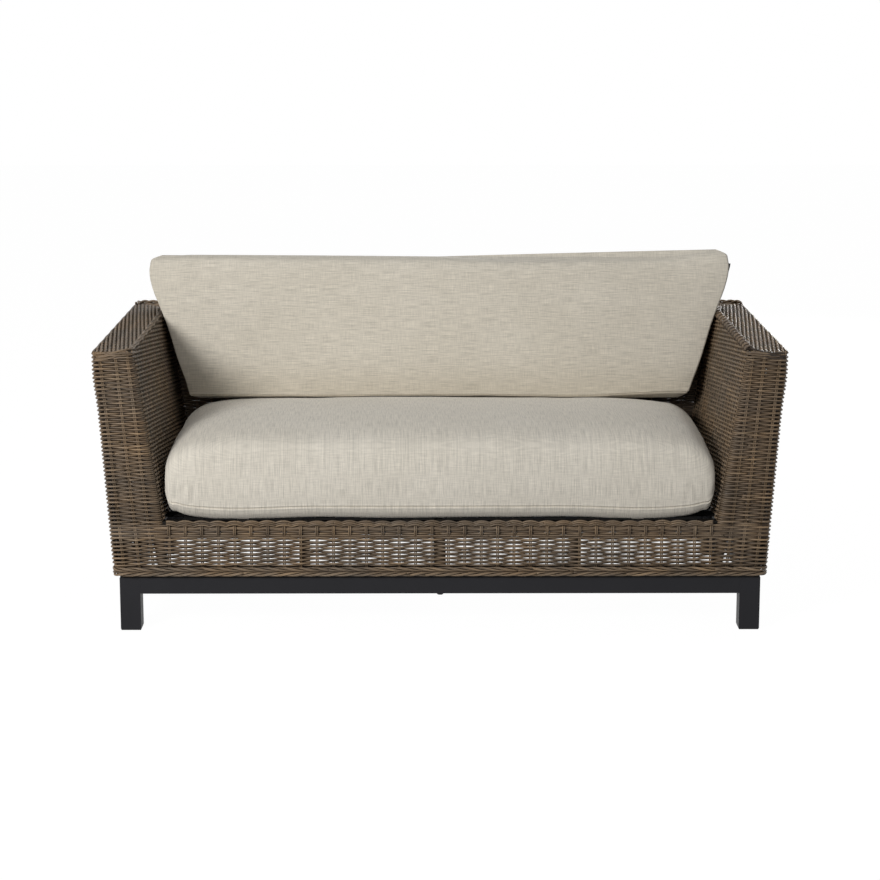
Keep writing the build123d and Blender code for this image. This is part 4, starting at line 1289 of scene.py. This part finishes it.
dressed("leg_front_right leg_front_left leg_rear_right leg_rear_left", coat, 0.0004)
dressed("base_rail_front base_rail_rear base_rail_right base_rail_left base_cross_tube",
        coat, 0.0003)
dressed("leg_feet", plug_plastic, 0.0006)
dressed("base_bolts thread_inserts", bolt_metal)
dressed("bottom_rail_front bottom_rail_rear bottom_rail_sides seat_rail_front seat_rail_rear "
        "seat_rail_sides seat_struts outer_corner_posts outer_mid_posts inner_corner_posts "
        "inner_mid_posts outer_top_rail_back outer_top_rail_sides inner_top_rail_back "
        "inner_top_rail_sides top_ties", frame_coat)
dressed("webbing_across webbing_lengthwise", strap_cloth)
dressed("seat_zip_tape back_zip_tape", tape_cloth)
dressed("seat_zip_slider back_zip_slider", slider_metal)


# Floor, light and camera: both the floor and the world are white to the camera and in
# reflections, and dimmer to everything else

floor_reach, floor_grey, floor_white, floor_share = 14, (0.5, 0.5, 0.5), 1.06, 0.93
sky_tint, sky_strength = (0.98, 0.99, 1.0), 0.21

floor_material = bpy.data.materials.new("floor_white")
floor_material.use_nodes = True
floor_material.node_tree.nodes.clear()
paint = Shading(floor_material.node_tree)
pale = paint.add("ShaderNodeBsdfDiffuse", {"Color": floor_grey})
white = paint.add("ShaderNodeEmission", {"Color": (1, 1, 1), "Strength": floor_white})
paint.backdrop("ShaderNodeOutputMaterial", pale, white,
               paint.math("MULTIPLY", paint.seen(), floor_share))
ends = (-floor_reach, floor_reach)
floor_corners = [(x, y, 0) for y in ends for x in ends]
built("floor", floor_corners, [(0, 1, 3, 2)], floor_material)

world = bpy.data.worlds.new("studio")
bpy.context.scene.world = world
world.use_nodes = True
world.node_tree.nodes.clear()
paint = Shading(world.node_tree)
soft = paint.add("ShaderNodeBackground", {"Color": sky_tint, "Strength": sky_strength})
plain = paint.add("ShaderNodeBackground", {"Color": (1, 1, 1), "Strength": 1.0})
paint.backdrop("ShaderNodeOutputWorld", soft, plain, paint.seen())


def area_light(name, place, target, size, power, colour):
    data = bpy.data.lights.new(name, "AREA")
    data.shape = "DISK"
    data.size = size
    data.energy = power
    data.color = colour
    light = placed(name, data)
    light.location = place
    way = Vector(target) - Vector(place)
    light.rotation_euler = way.to_track_quat("-Z", "Y").to_euler()


sofa_middle, right_arm = (0.0, 0.0, 0.4), (0.72, 0.0, 0.69)
area_light("key", (-2.6, -4.1, 2.35), sofa_middle, 1.3, 162, (1.0, 0.992, 0.98))
area_light("fill", (-0.6, -6.0, 1.5), sofa_middle, 2.4, 20, (1.0, 1.0, 1.0))
area_light("top", (0.6, 0.2, 3.6), sofa_middle, 2.2, 14, (0.97, 0.985, 1.0))
area_light("behind", (1.9, 4.6, 1.75), right_arm, 1.0, 58, (1.0, 0.99, 0.98))

# The camera that the photograph's straight edges fit; the focal length is in pixels
focal_length, picture_width, sensor_width = 2300.0, 880.0, 36.0
camera_data = bpy.data.cameras.new("camera")
camera_data.sensor_width = sensor_width
camera_data.lens = focal_length * sensor_width / picture_width
camera = placed("camera", camera_data)
camera.location = (-0.026, -5.84675, 1.561)
camera.rotation_euler = (math.radians(78.68), 0.0, math.radians(-0.27))
bpy.context.scene.camera = camera
bpy.context.scene.view_settings.view_transform = "Standard"
